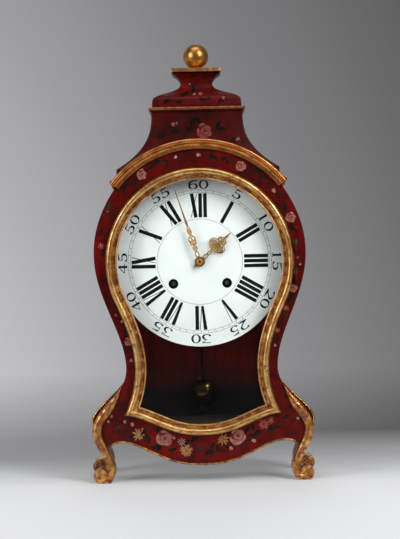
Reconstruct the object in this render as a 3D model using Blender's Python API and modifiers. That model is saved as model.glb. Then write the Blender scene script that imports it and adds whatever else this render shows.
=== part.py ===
"""Waisted bracket clock: lacquered case on scroll feet, glazed door, enamel dial and a two-train movement.

Metres, +Z up, the front faces -Y and +X is to the viewer's right. The origin is on the floor, under the
middle of the clock. A height from the centre of the dial is written as an offset from DIAL_Z.
"""
import math

import bmesh
import bpy
from mathutils import Matrix, Vector

for old in list(bpy.data.objects):
    bpy.data.objects.remove(old, do_unlink=True)

# Gaps between pieces
GAP = 0.0003
SWING_GAP = 0.0006
BOWED_GAP = 0.0008
OVERLAP = 0.001

# Depths, front to back
FRONT_Y = -0.061
FRONT_THICK = 0.012
BACK_Y = 0.075
BACK_THICK = 0.009
DOOR_THICK = 0.0137
CORNICE_PROUD = 0.011

# Dial and hands
DIAL_Z = 0.3016
DIAL_RADIUS = 0.1175
DIAL_SET_BACK = 0.021
DIAL_DOME = 0.008
DIAL_THICK = 0.002
DIAL_HOLE = 0.0055
DIAL_FOOT_RADIUS = 0.003
DIAL_FOOT_ACROSS = 0.058
DIAL_FOOT_UP = 0.058
DIAL_FOOT_DOWN = 0.054
HAND_THICK = 0.001
HAND_STEP = 0.0025
HAND_SPACE = 0.004
HAND_HUB = 0.0072
HOUR_REACH = 0.059
HOUR_DEG = 48
MINUTE_REACH = 0.106
MINUTE_DEG = -18.2
HOUR_TAIL = 0.0126
COLLET_RADIUS = 0.0042
COLLET_NOSE = 0.003
COLLET_RIM = 0.0006
CENTRE_REACH = 0.0115

# Door
DOOR_RADIUS = 0.129
DOOR_LEAVE_DEG = -25
DOOR_WAIST_HALF = 0.0915
DOOR_WAIST_Z = 0.158
DOOR_CORNER_HALF = 0.084
DOOR_TIP_HALF = 0.1078
DOOR_TIP_Z = 0.0927
DOOR_SAG_Z = 0.064
DOOR_SAG_POWER = 1.25
DOOR_WIDTH = 0.0155
DOOR_REBATE = 0.0115
DOOR_CROWN = 0.0025
DOOR_LIP = 0.0087
GLASS_THICK = 0.002
WINDOW_INSET = 0.008
HINGE_OFFSET = 0.020
HINGE_HEIGHT = 0.009
HINGE_RADIUS = 0.0024
HINGE_PIN_RADIUS = 0.0011
HINGE_OUT = 0.0027
HINGE_LEAF = 0.0015
HINGE_LEAF_WIDTH = 0.0048

# Case outline
SIDE_THICK = 0.009
SHOULDER_DROP = 0.0114
BULGE_MARGIN = 0.0164
BULGE_RISE = 0.0134
WAIST_HALF = 0.1040
WAIST_Z = 0.157
WAIST_EASE = 1.1
FLARE_HALF = 0.152
FLARE_Z = 0.072
SKIRT_TUCK = 0.007
SKIRT_Z = 0.050
REAR_SPREAD = 0.008
CORNER_RISE = 0.003
FLOOR_TOP_Z = 0.078
FLOOR_THICK = 0.009

# Apron
APRON_LOW_Z = 0.0225
APRON_HIGH_Z = 0.0548
APRON_POWER = 1.35
APRON_END_INSET = 0.019
APRON_TURN = 0.0135
APRON_END_Z = 0.0515
BEAD_RADIUS = 0.0013

# Legs
LEG_PROUD = 0.006
LEG_TIP_Z = 0.131
LEG_FULL_Z = 0.104
LEG_WIDTH = 0.0125
BAND_TUCK = 0.006
BAND_EASE = 0.0012
FOOT_DEPTH = 0.030
FOOT_PROUD = 0.0005
FOOT_SPREAD = 0.008
NECK_WIDTH = 0.0115
NECK_INSET = 0.0165
NECK_Z = 0.027
NECK_SLANT = 0.004
HEEL_INSET = 0.0175
HEEL_Z = 0.013
SCROLL_OUT = -0.0035
SCROLL_Z = 0.0095
SCROLL_RADIUS = 0.0100

# Arched top, cornice and hood
ARCH_RISE = 0.0144
ARCH_RADIUS = 0.152
ROOF_THICK = 0.009
ROOF_EASE = 0.0005
CORNICE_OVERHANG = 0.002
CORNICE_WIDTH = 0.0135
CORNICE_EDGE = 0.003
CORNICE_PAST = 0.0055
RETURN_WIDTH = 0.006
RETURN_HEIGHT = 0.012
HOOD_BASE_HALF = 0.1125
HOOD_LEDGE = 0.0025
HOOD_EDGE_RISE = 0.0133
HOOD_TOP_HALF = 0.0634
HOOD_RISE = 0.0415
HOOD_DEPTH_SHARE = 0.45
HOOD_SWEEP = 2.6

# Moulding, cap and ball
MOULDING_HEIGHT = 0.0072
MOULDING_PROUD = 0.004
CAP_HALF = 0.0622
CAP_NECK_HALF = 0.0225
CAP_HEIGHT = 0.0490
CAP_DEPTH_SHARE = 0.72
PLATE_HALF = 0.035
PLATE_HEIGHT = 0.0071
CHAMFER = 0.0015
BALL_RADIUS = 0.0178

# Movement plates
MOTION_SPACE = 0.025
PLATE_THICK = 0.003
PLATE_SPACE = 0.040
PLATE_WIDE_HALF = 0.070
PLATE_TOP = 0.070
PLATE_BOTTOM = -0.062
PILLAR_RADIUS = 0.0035
PILLAR_INSET = 0.006
PIVOT_RADIUS = 0.0008
ARBOR_RADIUS = 0.0012
WHEEL_THICK = 0.0015
PINION_LENGTH = 0.0045
SEAT_THICK = 0.010
SEAT_PROUD = 0.015
SEAT_INSET = 0.001

# Layers of wheels, measured in from the front plate or in from the back plate
BARREL_FROM_FRONT = 0.003
HAMMER_FROM_FRONT = 0.007
PIN_FROM_FRONT = 0.010
BARREL_FROM_BACK = 0.020
SECOND_FROM_BACK = 0.014
ESCAPE_FROM_BACK = 0.013
CENTRE_FROM_BACK = 0.009
THIRD_FROM_BACK = 0.004

# Trains: tooth counts and pitch radii
GREAT_TEETH = 48
GREAT_RADIUS = 0.030
GREAT_THICK = 0.0025
GREAT_TUCK = 0.0005
SECOND_LEAVES = 8
SECOND_TEETH = 36
SECOND_RADIUS = 0.0215
CENTRE_LEAVES = 6
CENTRE_TEETH = 60
CENTRE_RADIUS = 0.0216
CENTRE_ARBOR = 0.0015
THIRD_LEAVES = 6
THIRD_TEETH = 74
THIRD_RADIUS = 0.0210
ESCAPE_LEAVES = 6
ESCAPE_TEETH = 30
ESCAPE_RADIUS = 0.016
ESCAPE_ROOT_SHARE = 0.83
PIN_LEAVES = 6
PIN_TEETH = 36
PIN_RADIUS = 0.0165
FLY_LEAVES = 6
CANNON_TEETH = 8
CANNON_WALL = 0.001
MINUTE_TEETH = 24
MINUTE_RADIUS = 0.0135
MINUTE_LEAVES = 8
MINUTE_FORWARD = 0.0055
HOUR_TEETH = 32
HOUR_FORWARD = 0.012
PIPE_WALL = 0.0011
PIPE_TUCK = 0.002
MOTION_POST = 0.0015

# Spring barrels and winding work
WIND_X = 0.037
WIND_DROP = 0.030
WIND_HOLE = 0.0068
BARREL_RADIUS = 0.027
BARREL_WALL = 0.0015
WIND_ARBOR_RADIUS = 0.003
WIND_PIVOT_RADIUS = 0.0022
WIND_SHOULDER = 0.002
WIND_SQUARE_HALF = 0.0023
WIND_SQUARE_LENGTH = 0.022
SPRING_THICK = 0.0008
SPRING_TURNS = 3
RATCHET_RADIUS = 0.011
RATCHET_ROOT_SHARE = 0.82
RATCHET_THICK = 0.0025
RATCHET_TEETH = 12
CLICK_OUT = 0.0065
CLICK_HUB = 0.0026
CLICK_STUD = 0.0011
CLICK_NOSE_DEG = 45
CLICK_DEG = -35

# Pendulum and escapement
PALLET_RISE = 0.0584
PALLET_HOLE = 0.0026
PENDULUM_BEHIND = 0.0135
BOB_RISE = 0.0345
BOB_RADIUS = 0.0185
BOB_THICK = 0.009
BOB_RIM = 0.0007
ROD_RADIUS = 0.0015
ROD_BELOW = 0.012
SUSPENSION_LENGTH = 0.014
SUSPENSION_WIDTH = 0.008
SUSPENSION_THICK = 0.0006
SUSPENSION_RISE = 0.003
CLIP_HEIGHT = 0.007
CLIP_HALF = 0.002
NUT_HEIGHT = 0.004
NUT_RADIUS = 0.005
COCK_BEHIND = 0.0055
COCK_PAST = 0.002
COCK_HALF = 0.014
COCK_LOW = 0.004
COCK_HIGH = 0.010
COCK_FOOT = 0.004
COCK_PIVOT = 0.003
CRUTCH_BEHIND = 0.0015
CRUTCH_THICK = 0.002
CRUTCH_HALF = 0.0015
CRUTCH_RISE = 0.003
CRUTCH_DROP = 0.060
CRUTCH_BAR = 0.002
PRONG = 0.0015
PRONG_PAST = 0.003

# Striking work
PIN_CIRCLE = 0.013
PIN_COUNT = 6
STRIKE_PIN = 0.0006
FLY_HALF = 0.012
FLY_LENGTH = 0.011
FLY_BEHIND = 0.0045
HAMMER_X = -0.060
HAMMER_RISE = 0.045
HAMMER_THICK = 0.0025
HAMMER_HUB = 0.003
HAMMER_ARM = 0.0016
HAMMER_TAIL_GAP = 0.002
HAMMER_HEAD = 0.0055
HAMMER_HEAD_HALF = 0.004
BELL_RADIUS = 0.030
BELL_RISE = 0.090
BELL_HEIGHT = 0.024
BELL_WALL = 0.0025
STAND_RADIUS = 0.0022
STAND_X = 0.024
STAND_LOW = 0.035
STAND_MIDDLE = 0.060
STAND_OVER = 0.014
STAND_TURN = 0.004
STAND_STRAIGHT = 0.005
STAND_PAST = 0.004
COLLAR_THICK = 0.002

# Sizes that follow from these
SKIRT_HALF = FLARE_HALF - SKIRT_TUCK
APRON_END_HALF = SKIRT_HALF - APRON_END_INSET
APRON_HIGH_HALF = APRON_END_HALF - APRON_TURN
NECK_X = SKIRT_HALF - NECK_INSET
HEEL_X = SKIRT_HALF - HEEL_INSET
SCROLL_X = SKIRT_HALF + SCROLL_OUT
BULGE_HALF = DOOR_RADIUS + BULGE_MARGIN
BULGE_Z = DIAL_Z + BULGE_RISE
ARCH_Z = DIAL_Z + ARCH_RISE
ARCH_HALF = HOOD_BASE_HALF + HOOD_LEDGE
ARCH_END_Z = ARCH_Z + math.sqrt(ARCH_RADIUS ** 2 - ARCH_HALF ** 2)
TOP_Z = ARCH_END_Z - SHOULDER_DROP
ROOF_HALF = HOOD_BASE_HALF - ROOF_EASE
CORNICE_END_HALF = ARCH_HALF + CORNICE_PAST
ARCH_END_SLOPE = ARCH_HALF / (ARCH_END_Z - ARCH_Z)
HOOD_EDGE_Z = ARCH_END_Z + HOOD_EDGE_RISE * ARCH_END_SLOPE
HOOD_TOP_Z = ARCH_Z + ARCH_RADIUS + HOOD_RISE
DIAL_RIM_Y = FRONT_Y + DIAL_SET_BACK
DIAL_FRONT_Y = DIAL_RIM_Y - DIAL_DOME
PLATE_Y = DIAL_RIM_Y + MOTION_SPACE
IN_Y = PLATE_Y + PLATE_THICK
OUT_Y = IN_Y + PLATE_SPACE
REAR_Y = OUT_Y + PLATE_THICK
PENDULUM_Y = REAR_Y + PENDULUM_BEHIND
BARREL_LENGTH = PLATE_SPACE - BARREL_FROM_FRONT - BARREL_FROM_BACK
BARREL_LAYER = IN_Y + BARREL_FROM_FRONT
GREAT_LAYER = BARREL_LAYER + BARREL_LENGTH - GREAT_TUCK
HAMMER_LAYER = IN_Y + HAMMER_FROM_FRONT
PIN_LAYER = IN_Y + PIN_FROM_FRONT
SECOND_LAYER = OUT_Y - SECOND_FROM_BACK
ESCAPE_LAYER = OUT_Y - ESCAPE_FROM_BACK
CENTRE_LAYER = OUT_Y - CENTRE_FROM_BACK
THIRD_LAYER = OUT_Y - THIRD_FROM_BACK
MINUTE_LAYER = PLATE_Y - MINUTE_FORWARD
HOUR_LAYER = PLATE_Y - HOUR_FORWARD
RATCHET_BACK_Y = PLATE_Y - 2 * GAP
RATCHET_FRONT_Y = RATCHET_BACK_Y - RATCHET_THICK
CENTRE_FRONT_Y = DIAL_FRONT_Y - CENTRE_REACH
HOUR_HAND_Y = DIAL_FRONT_Y - HAND_STEP
MINUTE_HAND_Y = HOUR_HAND_Y - HAND_THICK - HAND_SPACE

PARTS = bpy.data.collections.new('neuchatel_clock')
bpy.context.scene.collection.children.link(PARTS)


def material(name, colour, roughness, metallic=0.0):
    made = bpy.data.materials.new(name)
    made.use_nodes = True
    shader = made.node_tree.nodes['Principled BSDF']
    shader.inputs['Base Color'].default_value = (*colour, 1.0)
    shader.inputs['Roughness'].default_value = roughness
    shader.inputs['Metallic'].default_value = metallic
    return made


LACQUER = material('red_lacquer', (0.16, 0.012, 0.012), 0.3)
STAINED = material('stained_wood', (0.07, 0.02, 0.014), 0.6)
GILT = material('gilding', (0.72, 0.44, 0.12), 0.3, 1.0)
ENAMEL = material('white_enamel', (0.85, 0.86, 0.84), 0.15)
BRASS = material('brass', (0.65, 0.47, 0.17), 0.3, 1.0)
STEEL = material('steel', (0.45, 0.46, 0.48), 0.35, 1.0)
BELL_METAL = material('bell_metal', (0.62, 0.5, 0.3), 0.3, 1.0)
GLASS = material('glass', (0.9, 0.95, 0.95), 0.02)


def place(name, mesh, finish):
    """One named piece from a closed mesh in world coordinates."""
    work = bmesh.new()
    work.from_mesh(mesh)
    bmesh.ops.remove_doubles(work, verts=work.verts, dist=1e-6)
    bmesh.ops.recalc_face_normals(work, faces=work.faces)
    work.to_mesh(mesh)
    work.free()
    mesh.name = name
    mesh.materials.clear()
    mesh.materials.append(finish)
    mesh.shade_smooth()
    mesh.set_sharp_from_angle(angle=math.radians(30))
    piece = bpy.data.objects.new(name, mesh)
    PARTS.objects.link(piece)
    return piece


def settle(name, drawn, finish):
    """Turn a drawn curve or an object with modifiers into a piece, and remove the drawing."""
    PARTS.objects.link(drawn)
    bpy.context.view_layer.update()
    depsgraph = bpy.context.evaluated_depsgraph_get()
    mesh = bpy.data.meshes.new_from_object(drawn.evaluated_get(depsgraph))
    mesh.transform(drawn.matrix_world)
    bpy.data.objects.remove(drawn, do_unlink=True)
    return place(name, mesh, finish)


def pivot(piece, point):
    """Move a piece's origin to its joint, with the piece staying where it is."""
    piece.data.transform(Matrix.Translation(-Vector(point)))
    piece.location = point
    return piece


def boolean(base, tool, operation):
    change = base.modifiers.new(operation, 'BOOLEAN')
    change.operation = operation
    change.object = tool
    bpy.context.view_layer.update()
    depsgraph = bpy.context.evaluated_depsgraph_get()
    mesh = bpy.data.meshes.new_from_object(base.evaluated_get(depsgraph))
    finish = base.data.materials[0]
    name = base.name
    bpy.data.objects.remove(base, do_unlink=True)
    bpy.data.objects.remove(tool, do_unlink=True)
    return place(name, mesh, finish)


def join(pieces):
    """Unite overlapping solids into the first one."""
    base = pieces[0]
    for other in pieces[1:]:
        base = boolean(base, other, 'UNION')
    return base


def flat(name, outlines, y_front, y_back, finish):
    """Board or sheet that stands in the XZ plane, from closed (x, z) outlines."""
    curve = bpy.data.curves.new(name, 'CURVE')
    curve.dimensions = '2D'
    curve.fill_mode = 'BOTH'
    curve.extrude = (y_back - y_front) / 2
    for outline in outlines:
        spline = curve.splines.new('POLY')
        spline.points.add(len(outline) - 1)
        for point, (x, z) in zip(spline.points, outline):
            point.co = (x, z, 0, 1)
        spline.use_cyclic_u = True
    drawn = bpy.data.objects.new(name + '_drawing', curve)
    drawn.location.y = (y_front + y_back) / 2
    drawn.rotation_euler.x = math.pi / 2
    return settle(name, drawn, finish)


def turned(name, profile, centre, finish, steps=16, upright=False, closed=False):
    """Turned piece from (radius, height) points that run down its outer side.

    The height is along +Y, or along +Z when upright. A closed profile makes a ring.
    """
    mesh = bpy.data.meshes.new(name)
    count = len(profile)
    last = count if closed else count - 1
    edges = [(i, (i + 1) % count) for i in range(last)]
    mesh.from_pydata([(radius, 0, height) for radius, height in profile], edges, [])
    drawn = bpy.data.objects.new(name + '_drawing', mesh)
    spin = drawn.modifiers.new('turning', 'SCREW')
    spin.steps = steps
    spin.render_steps = steps
    spin.use_merge_vertices = True
    spin.merge_threshold = 0.00001
    drawn.location = centre
    if not upright:
        drawn.rotation_euler.x = -math.pi / 2
    return settle(name, drawn, finish)


def rod(name, x, z, stations, finish, steps=12):
    """Shaft along Y from (y, radius) stations that run from the front to the back."""
    profile = [(0, stations[-1][0])]
    for y, radius in reversed(stations):
        profile.append((radius, y))
    profile.append((0, stations[0][0]))
    return turned(name, profile, (x, 0, z), finish, steps)


def block(name, low, high, finish):
    """Square-edged block between two corners."""
    work = bmesh.new()
    bmesh.ops.create_cube(work, size=1.0)
    size = [b - a for a, b in zip(low, high)]
    middle = [(a + b) / 2 for a, b in zip(low, high)]
    bmesh.ops.scale(work, vec=size, verts=work.verts)
    bmesh.ops.translate(work, vec=middle, verts=work.verts)
    mesh = bpy.data.meshes.new(name)
    work.to_mesh(mesh)
    work.free()
    return place(name, mesh, finish)


def loft(name, rings, finish, closed=False):
    """Skin over rings that all have the same number of corners, capped unless it closes on itself."""
    corners = len(rings[0])
    verts = [point for ring in rings for point in ring]
    faces = []
    last = len(rings) if closed else len(rings) - 1
    for i in range(last):
        here = i * corners
        there = ((i + 1) % len(rings)) * corners
        for k in range(corners):
            n = (k + 1) % corners
            faces.append((here + k, here + n, there + n, there + k))
    if not closed:
        faces.append(tuple(range(corners)))
        faces.append(tuple(range(len(verts) - corners, len(verts))))
    mesh = bpy.data.meshes.new(name)
    mesh.from_pydata(verts, [], faces)
    return place(name, mesh, finish)


def ease(t):
    t = min(max(t, 0.0), 1.0)
    return t * t * (3 - 2 * t)


def steps_between(low, high, count):
    return [low + (high - low) * i / count for i in range(count + 1)]


def circle(x, z, radius, count=12, start=0.0):
    turn = 2 * math.pi / count
    return [(x + radius * math.cos(start + turn * i), z + radius * math.sin(start + turn * i))
            for i in range(count)]


def mirrored(half):
    """Whole outline from its right half, which runs from the bottom middle to the top middle."""
    left = [(-x, z) for x, z in reversed(half) if x > 1e-6]
    return half + left


# Case outline

def case_half(z, depth=0.0):
    """Half width of the case at a height; depth runs from 0 at the front to 1 at the back."""
    if z >= BULGE_Z:
        share = (z - BULGE_Z) / (TOP_Z - BULGE_Z)
        half = BULGE_HALF - (BULGE_HALF - ARCH_HALF) * share ** 2
    elif z >= WAIST_Z:
        share = ((BULGE_Z - z) / (BULGE_Z - WAIST_Z)) ** WAIST_EASE
        half = BULGE_HALF - (BULGE_HALF - WAIST_HALF) * ease(share)
    elif z >= FLARE_Z:
        share = (WAIST_Z - z) / (WAIST_Z - FLARE_Z)
        half = WAIST_HALF + (FLARE_HALF - WAIST_HALF) * ease(share)
    else:
        share = (FLARE_Z - z) / (FLARE_Z - SKIRT_Z)
        half = FLARE_HALF - (FLARE_HALF - SKIRT_HALF) * share ** 2
    return half + REAR_SPREAD * depth * ease((WAIST_Z - z) / (WAIST_Z - FLARE_Z))


def apron_z(x):
    if x <= APRON_HIGH_HALF:
        return APRON_LOW_Z + (APRON_HIGH_Z - APRON_LOW_Z) * ease((x / APRON_HIGH_HALF) ** APRON_POWER)
    share = (x - APRON_HIGH_HALF) / (APRON_END_HALF - APRON_HIGH_HALF)
    return APRON_HIGH_Z - (APRON_HIGH_Z - APRON_END_Z) * share ** 2


def leg_width(z):
    """Width of the gilt band up the front corner, which runs out to a point."""
    return LEG_WIDTH * min(1.0, max(0.0, (LEG_TIP_Z - z) / (LEG_TIP_Z - LEG_FULL_Z)))


def arch(radius, half, count):
    """Arc over the top from the right end to the middle, as (x, z)."""
    start = math.acos(half / radius)
    line = [(radius * math.cos(a), ARCH_Z + radius * math.sin(a))
            for a in steps_between(start, math.pi / 2, count)]
    line[-1] = (0.0, ARCH_Z + radius)
    return line


# Door outline

def door_line(inset):
    """Right half of the door's outline, from the bottom middle to the top middle, moved in by inset."""
    leave = math.radians(DOOR_LEAVE_DEG)
    leave_x = DOOR_RADIUS * math.cos(leave)
    leave_z = DOOR_RADIUS * math.sin(leave) + DIAL_Z
    rise = leave_z - DOOR_WAIST_Z
    line = []
    for x in steps_between(0, DOOR_CORNER_HALF, 6) + [DOOR_TIP_HALF]:
        sag = ease((x / DOOR_TIP_HALF) ** DOOR_SAG_POWER)
        line.append((x, DOOR_SAG_Z + (DOOR_TIP_Z - DOOR_SAG_Z) * sag))
    for z in steps_between(DOOR_TIP_Z, DOOR_WAIST_Z, 3)[1:]:
        share = (DOOR_WAIST_Z - z) / (DOOR_WAIST_Z - DOOR_TIP_Z)
        line.append((DOOR_WAIST_HALF + (DOOR_TIP_HALF - DOOR_WAIST_HALF) * share ** 2, z))
    for z in steps_between(DOOR_WAIST_Z, leave_z, 6)[1:-1]:
        t = (z - DOOR_WAIST_Z) / rise
        pull = (t ** 3 - t ** 2) * rise * math.tan(-leave)
        line.append((DOOR_WAIST_HALF + (leave_x - DOOR_WAIST_HALF) * ease(t) + pull, z))
    for a in steps_between(leave, math.pi / 2, 11):
        line.append((DOOR_RADIUS * math.cos(a), DIAL_Z + DOOR_RADIUS * math.sin(a)))
    line[0] = (0.0, line[0][1])
    line[-1] = (0.0, line[-1][1])
    whole = mirrored(line)
    return inward(whole, inset)


def inward(outline, inset):
    """Closed anticlockwise outline with every side moved in by inset and its corners mitred."""
    moved = []
    count = len(outline)
    for i, here in enumerate(outline):
        before = Vector(outline[i - 1])
        after = Vector(outline[(i + 1) % count])
        here = Vector(here)
        first = (here - before).normalized()
        second = (after - here).normalized()
        normal = Vector((-first.y, first.x)) + Vector((-second.y, second.x))
        normal.normalize()
        reach = inset / max(0.2, normal.dot(Vector((-first.y, first.x))))
        moved.append(tuple(here + normal * reach))
    return moved


# Gear teeth

ADDENDUM = 0.66
DEDENDUM = 1.5


def toothed(x, z, teeth, radius, tip_angle):
    """Pointed teeth round a pitch circle, with one tip at tip_angle and room for a loose mesh."""
    module = 2 * radius / teeth
    points = []
    for i in range(2 * teeth):
        angle = tip_angle + math.pi * i / teeth
        reach = radius + module * (ADDENDUM if i % 2 == 0 else -DEDENDUM)
        points.append((x + reach * math.cos(angle), z + reach * math.sin(angle)))
    return points


def heading(start, end):
    return math.atan2(end[1] - start[1], end[0] - start[0])


def gap_towards(start, end, leaves):
    """Tip angle that turns a gap between two leaves towards another wheel's centre."""
    return heading(start, end) + math.pi / leaves


def apart(start, end, from_start, from_end, side):
    """Centre at two given distances from two others, on the left (+1) or right (-1) of the way to end."""
    way = Vector(end) - Vector(start)
    along = (from_start ** 2 - from_end ** 2 + way.length ** 2) / (2 * way.length)
    across = math.sqrt(from_start ** 2 - along ** 2) * side
    way.normalize()
    spot = Vector(start) + way * along + Vector((-way.y, way.x)) * across
    return tuple(spot)


def off(start, distance, degrees):
    angle = math.radians(degrees)
    return (start[0] + distance * math.cos(angle), start[1] + distance * math.sin(angle))


# Case

SIDE_FRONT_Y = FRONT_Y + FRONT_THICK + GAP
SIDE_BACK_Y = BACK_Y - BACK_THICK - GAP
SIDE_TOP_Z = ARCH_Z + math.sqrt((ARCH_RADIUS - ROOF_THICK) ** 2 - ROOF_HALF ** 2) - GAP
LEG_FRONT_Y = FRONT_Y - LEG_PROUD
FACE_Y = FRONT_Y - GAP


def edge_line(low_z, high_z, depth, count):
    return [(case_half(z, depth), z) for z in steps_between(low_z, high_z, count)]


def front_board():
    half = [(x, apron_z(x)) for x in steps_between(0, APRON_END_HALF, 14)]
    for z in steps_between(SKIRT_Z + CORNER_RISE, LEG_TIP_Z + GAP, 9):
        half.append((case_half(z) - leg_width(z) - GAP, z))
    half += edge_line(LEG_TIP_Z + 2 * GAP, SIDE_TOP_Z, 0, 18)
    half += arch(ARCH_RADIUS, ARCH_HALF, 10)
    window = door_line(WINDOW_INSET)
    return flat('case_front', [mirrored(half), window], FRONT_Y, FRONT_Y + FRONT_THICK, LACQUER)


def side_board(name, side):
    rings = []
    for z in steps_between(SKIRT_Z, SIDE_TOP_Z, 24):
        front = case_half(z)
        back = case_half(z, 1)
        ring = [(front, SIDE_FRONT_Y), (back, SIDE_BACK_Y)]
        ring += [(back - SIDE_THICK, SIDE_BACK_Y), (front - SIDE_THICK, SIDE_FRONT_Y)]
        rings.append([(side * x, y, z) for x, y in ring])
    return loft(name, rings, LACQUER)


def back_board():
    half = [(0.0, SKIRT_Z)]
    half += edge_line(SKIRT_Z, SIDE_TOP_Z, 1, 20)
    half += arch(ARCH_RADIUS, ARCH_HALF, 10)
    return flat('case_back', [mirrored(half)], BACK_Y - BACK_THICK, BACK_Y, STAINED)


def roof_board():
    outer = mirrored(arch(ARCH_RADIUS, ROOF_HALF, 10))
    inner = mirrored(arch(ARCH_RADIUS - ROOF_THICK, ROOF_HALF, 10))
    outline = outer + list(reversed(inner))
    return flat('case_roof', [outline], SIDE_FRONT_Y, SIDE_BACK_Y, STAINED)


def floor_board():
    rings = []
    for z in (FLOOR_TOP_Z - FLOOR_THICK, FLOOR_TOP_Z):
        narrow = min(case_half(FLOOR_TOP_Z - FLOOR_THICK), case_half(FLOOR_TOP_Z))
        front = narrow - SIDE_THICK - BOWED_GAP
        back = front + REAR_SPREAD * ease((WAIST_Z - FLOOR_TOP_Z) / (WAIST_Z - FLARE_Z))
        rings.append([(-front, SIDE_FRONT_Y, z), (front, SIDE_FRONT_Y, z),
                      (back, SIDE_BACK_Y, z), (-back, SIDE_BACK_Y, z)])
    return loft('case_floor', rings, STAINED)


def apron_bead():
    curve = bpy.data.curves.new('apron_bead', 'CURVE')
    curve.dimensions = '3D'
    curve.bevel_depth = BEAD_RADIUS
    curve.bevel_resolution = 1
    curve.use_fill_caps = True
    spline = curve.splines.new('POLY')
    points = steps_between(-APRON_END_HALF, APRON_END_HALF, 32)
    spline.points.add(len(points) - 1)
    for point, x in zip(spline.points, points):
        point.co = (x, FACE_Y - BEAD_RADIUS, apron_z(abs(x)) + BEAD_RADIUS, 1)
    return settle('apron_bead', bpy.data.objects.new('apron_bead_drawing', curve), GILT)


def between(points, per_span):
    """Smooth line through a few (x, z) points."""
    line = []
    for i in range(len(points) - 1):
        a = Vector(points[max(i - 1, 0)])
        b = Vector(points[i])
        c = Vector(points[i + 1])
        d = Vector(points[min(i + 2, len(points) - 1)])
        for k in range(per_span):
            t = k / per_span
            spot = 0.5 * (2 * b + (c - a) * t + (2 * a - 5 * b + 4 * c - d) * t ** 2
                          + (3 * b - a - 3 * c + d) * t ** 3)
            line.append(tuple(spot))
    line.append(tuple(points[-1]))
    return line


def foot_outline(spread):
    """Bent foot with its scroll turned outwards, standing on a flat sole, as (x, z)."""
    top_outer = case_half(SKIRT_Z) - GAP
    top_inner = top_outer - LEG_WIDTH + GAP
    crotch = off((SCROLL_X, SCROLL_Z), SCROLL_RADIUS, 150)
    outer = [(top_outer, SKIRT_Z - GAP), (NECK_X + NECK_WIDTH / 2, NECK_Z + NECK_SLANT), crotch]
    inner = [(HEEL_X, 0.0), (HEEL_X - NECK_WIDTH / 2, HEEL_Z), (NECK_X - NECK_WIDTH / 2, NECK_Z),
             (top_inner, SKIRT_Z - GAP)]
    outline = between(outer, 4)
    for angle in steps_between(130, -90, 11):
        outline.append(off((SCROLL_X, SCROLL_Z), SCROLL_RADIUS, angle))
    outline += between(inner, 4)
    return [(x + spread, max(0.0, z)) for x, z in outline]


def flip(piece):
    """Mirror a piece to the other side of the clock."""
    piece.data.transform(Matrix.Scale(-1, 4, (1, 0, 0)))
    piece.data.flip_normals()
    return piece


def front_leg(name, side):
    """Gilt band up the front corner of the case, with the foot under it."""
    board_back = FRONT_Y + FRONT_THICK - GAP
    rings = []
    for z in steps_between(LEG_TIP_Z, SKIRT_Z, 14):
        outer = case_half(z)
        inner = outer - leg_width(z)
        rings.append([(outer, LEG_FRONT_Y, z), (inner, LEG_FRONT_Y, z),
                      (inner, board_back, z), (outer, board_back, z)])
    low = SKIRT_Z - BAND_TUCK
    outer = case_half(SKIRT_Z) - 3 * BAND_EASE
    inner = case_half(SKIRT_Z) - LEG_WIDTH + BAND_EASE
    rings.append([(outer, LEG_FRONT_Y, low), (inner, LEG_FRONT_Y, low),
                  (inner, board_back, low), (outer, board_back, low)])
    band = loft(name, rings, GILT)
    front = LEG_FRONT_Y - FOOT_PROUD
    foot = flat(name + '_foot', [foot_outline(0)], front, LEG_FRONT_Y + FOOT_DEPTH, GILT)
    leg = join([band, foot])
    return leg if side > 0 else flip(leg)


def rear_leg(name, side):
    leg = flat(name, [foot_outline(FOOT_SPREAD)], BACK_Y - FOOT_DEPTH, BACK_Y, GILT)
    return leg if side > 0 else flip(leg)


def cornice():
    """Half-round moulding over the arch, with a short return along each side."""
    outer = ARCH_RADIUS + CORNICE_OVERHANG
    inner = outer - CORNICE_WIDTH
    front = FACE_Y - CORNICE_PROUD
    profile = [(inner, FACE_Y), (inner, front + 2 * CORNICE_EDGE),
               (inner + CORNICE_EDGE, front + CORNICE_EDGE), (inner + 2 * CORNICE_EDGE, front),
               (outer - CORNICE_EDGE, front), (outer, front + CORNICE_EDGE), (outer, FACE_Y)]
    start = math.acos(CORNICE_END_HALF / outer)
    rings = []
    for angle in steps_between(start, math.pi - start, 26):
        rings.append([(r * math.cos(angle), y, ARCH_Z + r * math.sin(angle)) for r, y in profile])
    arc = loft('arch_moulding', rings, GILT)
    low = ARCH_END_Z - RETURN_HEIGHT
    near = max(case_half(low), ARCH_HALF) + GAP
    pieces = [arc]
    for side in (-1, 1):
        ends = sorted((side * near, side * (near + RETURN_WIDTH)))
        pieces.append(block('return', (ends[0], front + CORNICE_EDGE / 2, low),
                            (ends[1], SIDE_BACK_Y, ARCH_END_Z), GILT))
    return join(pieces)


def section(half, depth_front, depth_back, z):
    return [(-half, depth_front, z), (half, depth_front, z), (half, depth_back, z), (-half, depth_back, z)]


def hood_front(half):
    return SIDE_FRONT_Y + (HOOD_BASE_HALF - half) * HOOD_DEPTH_SHARE


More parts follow.
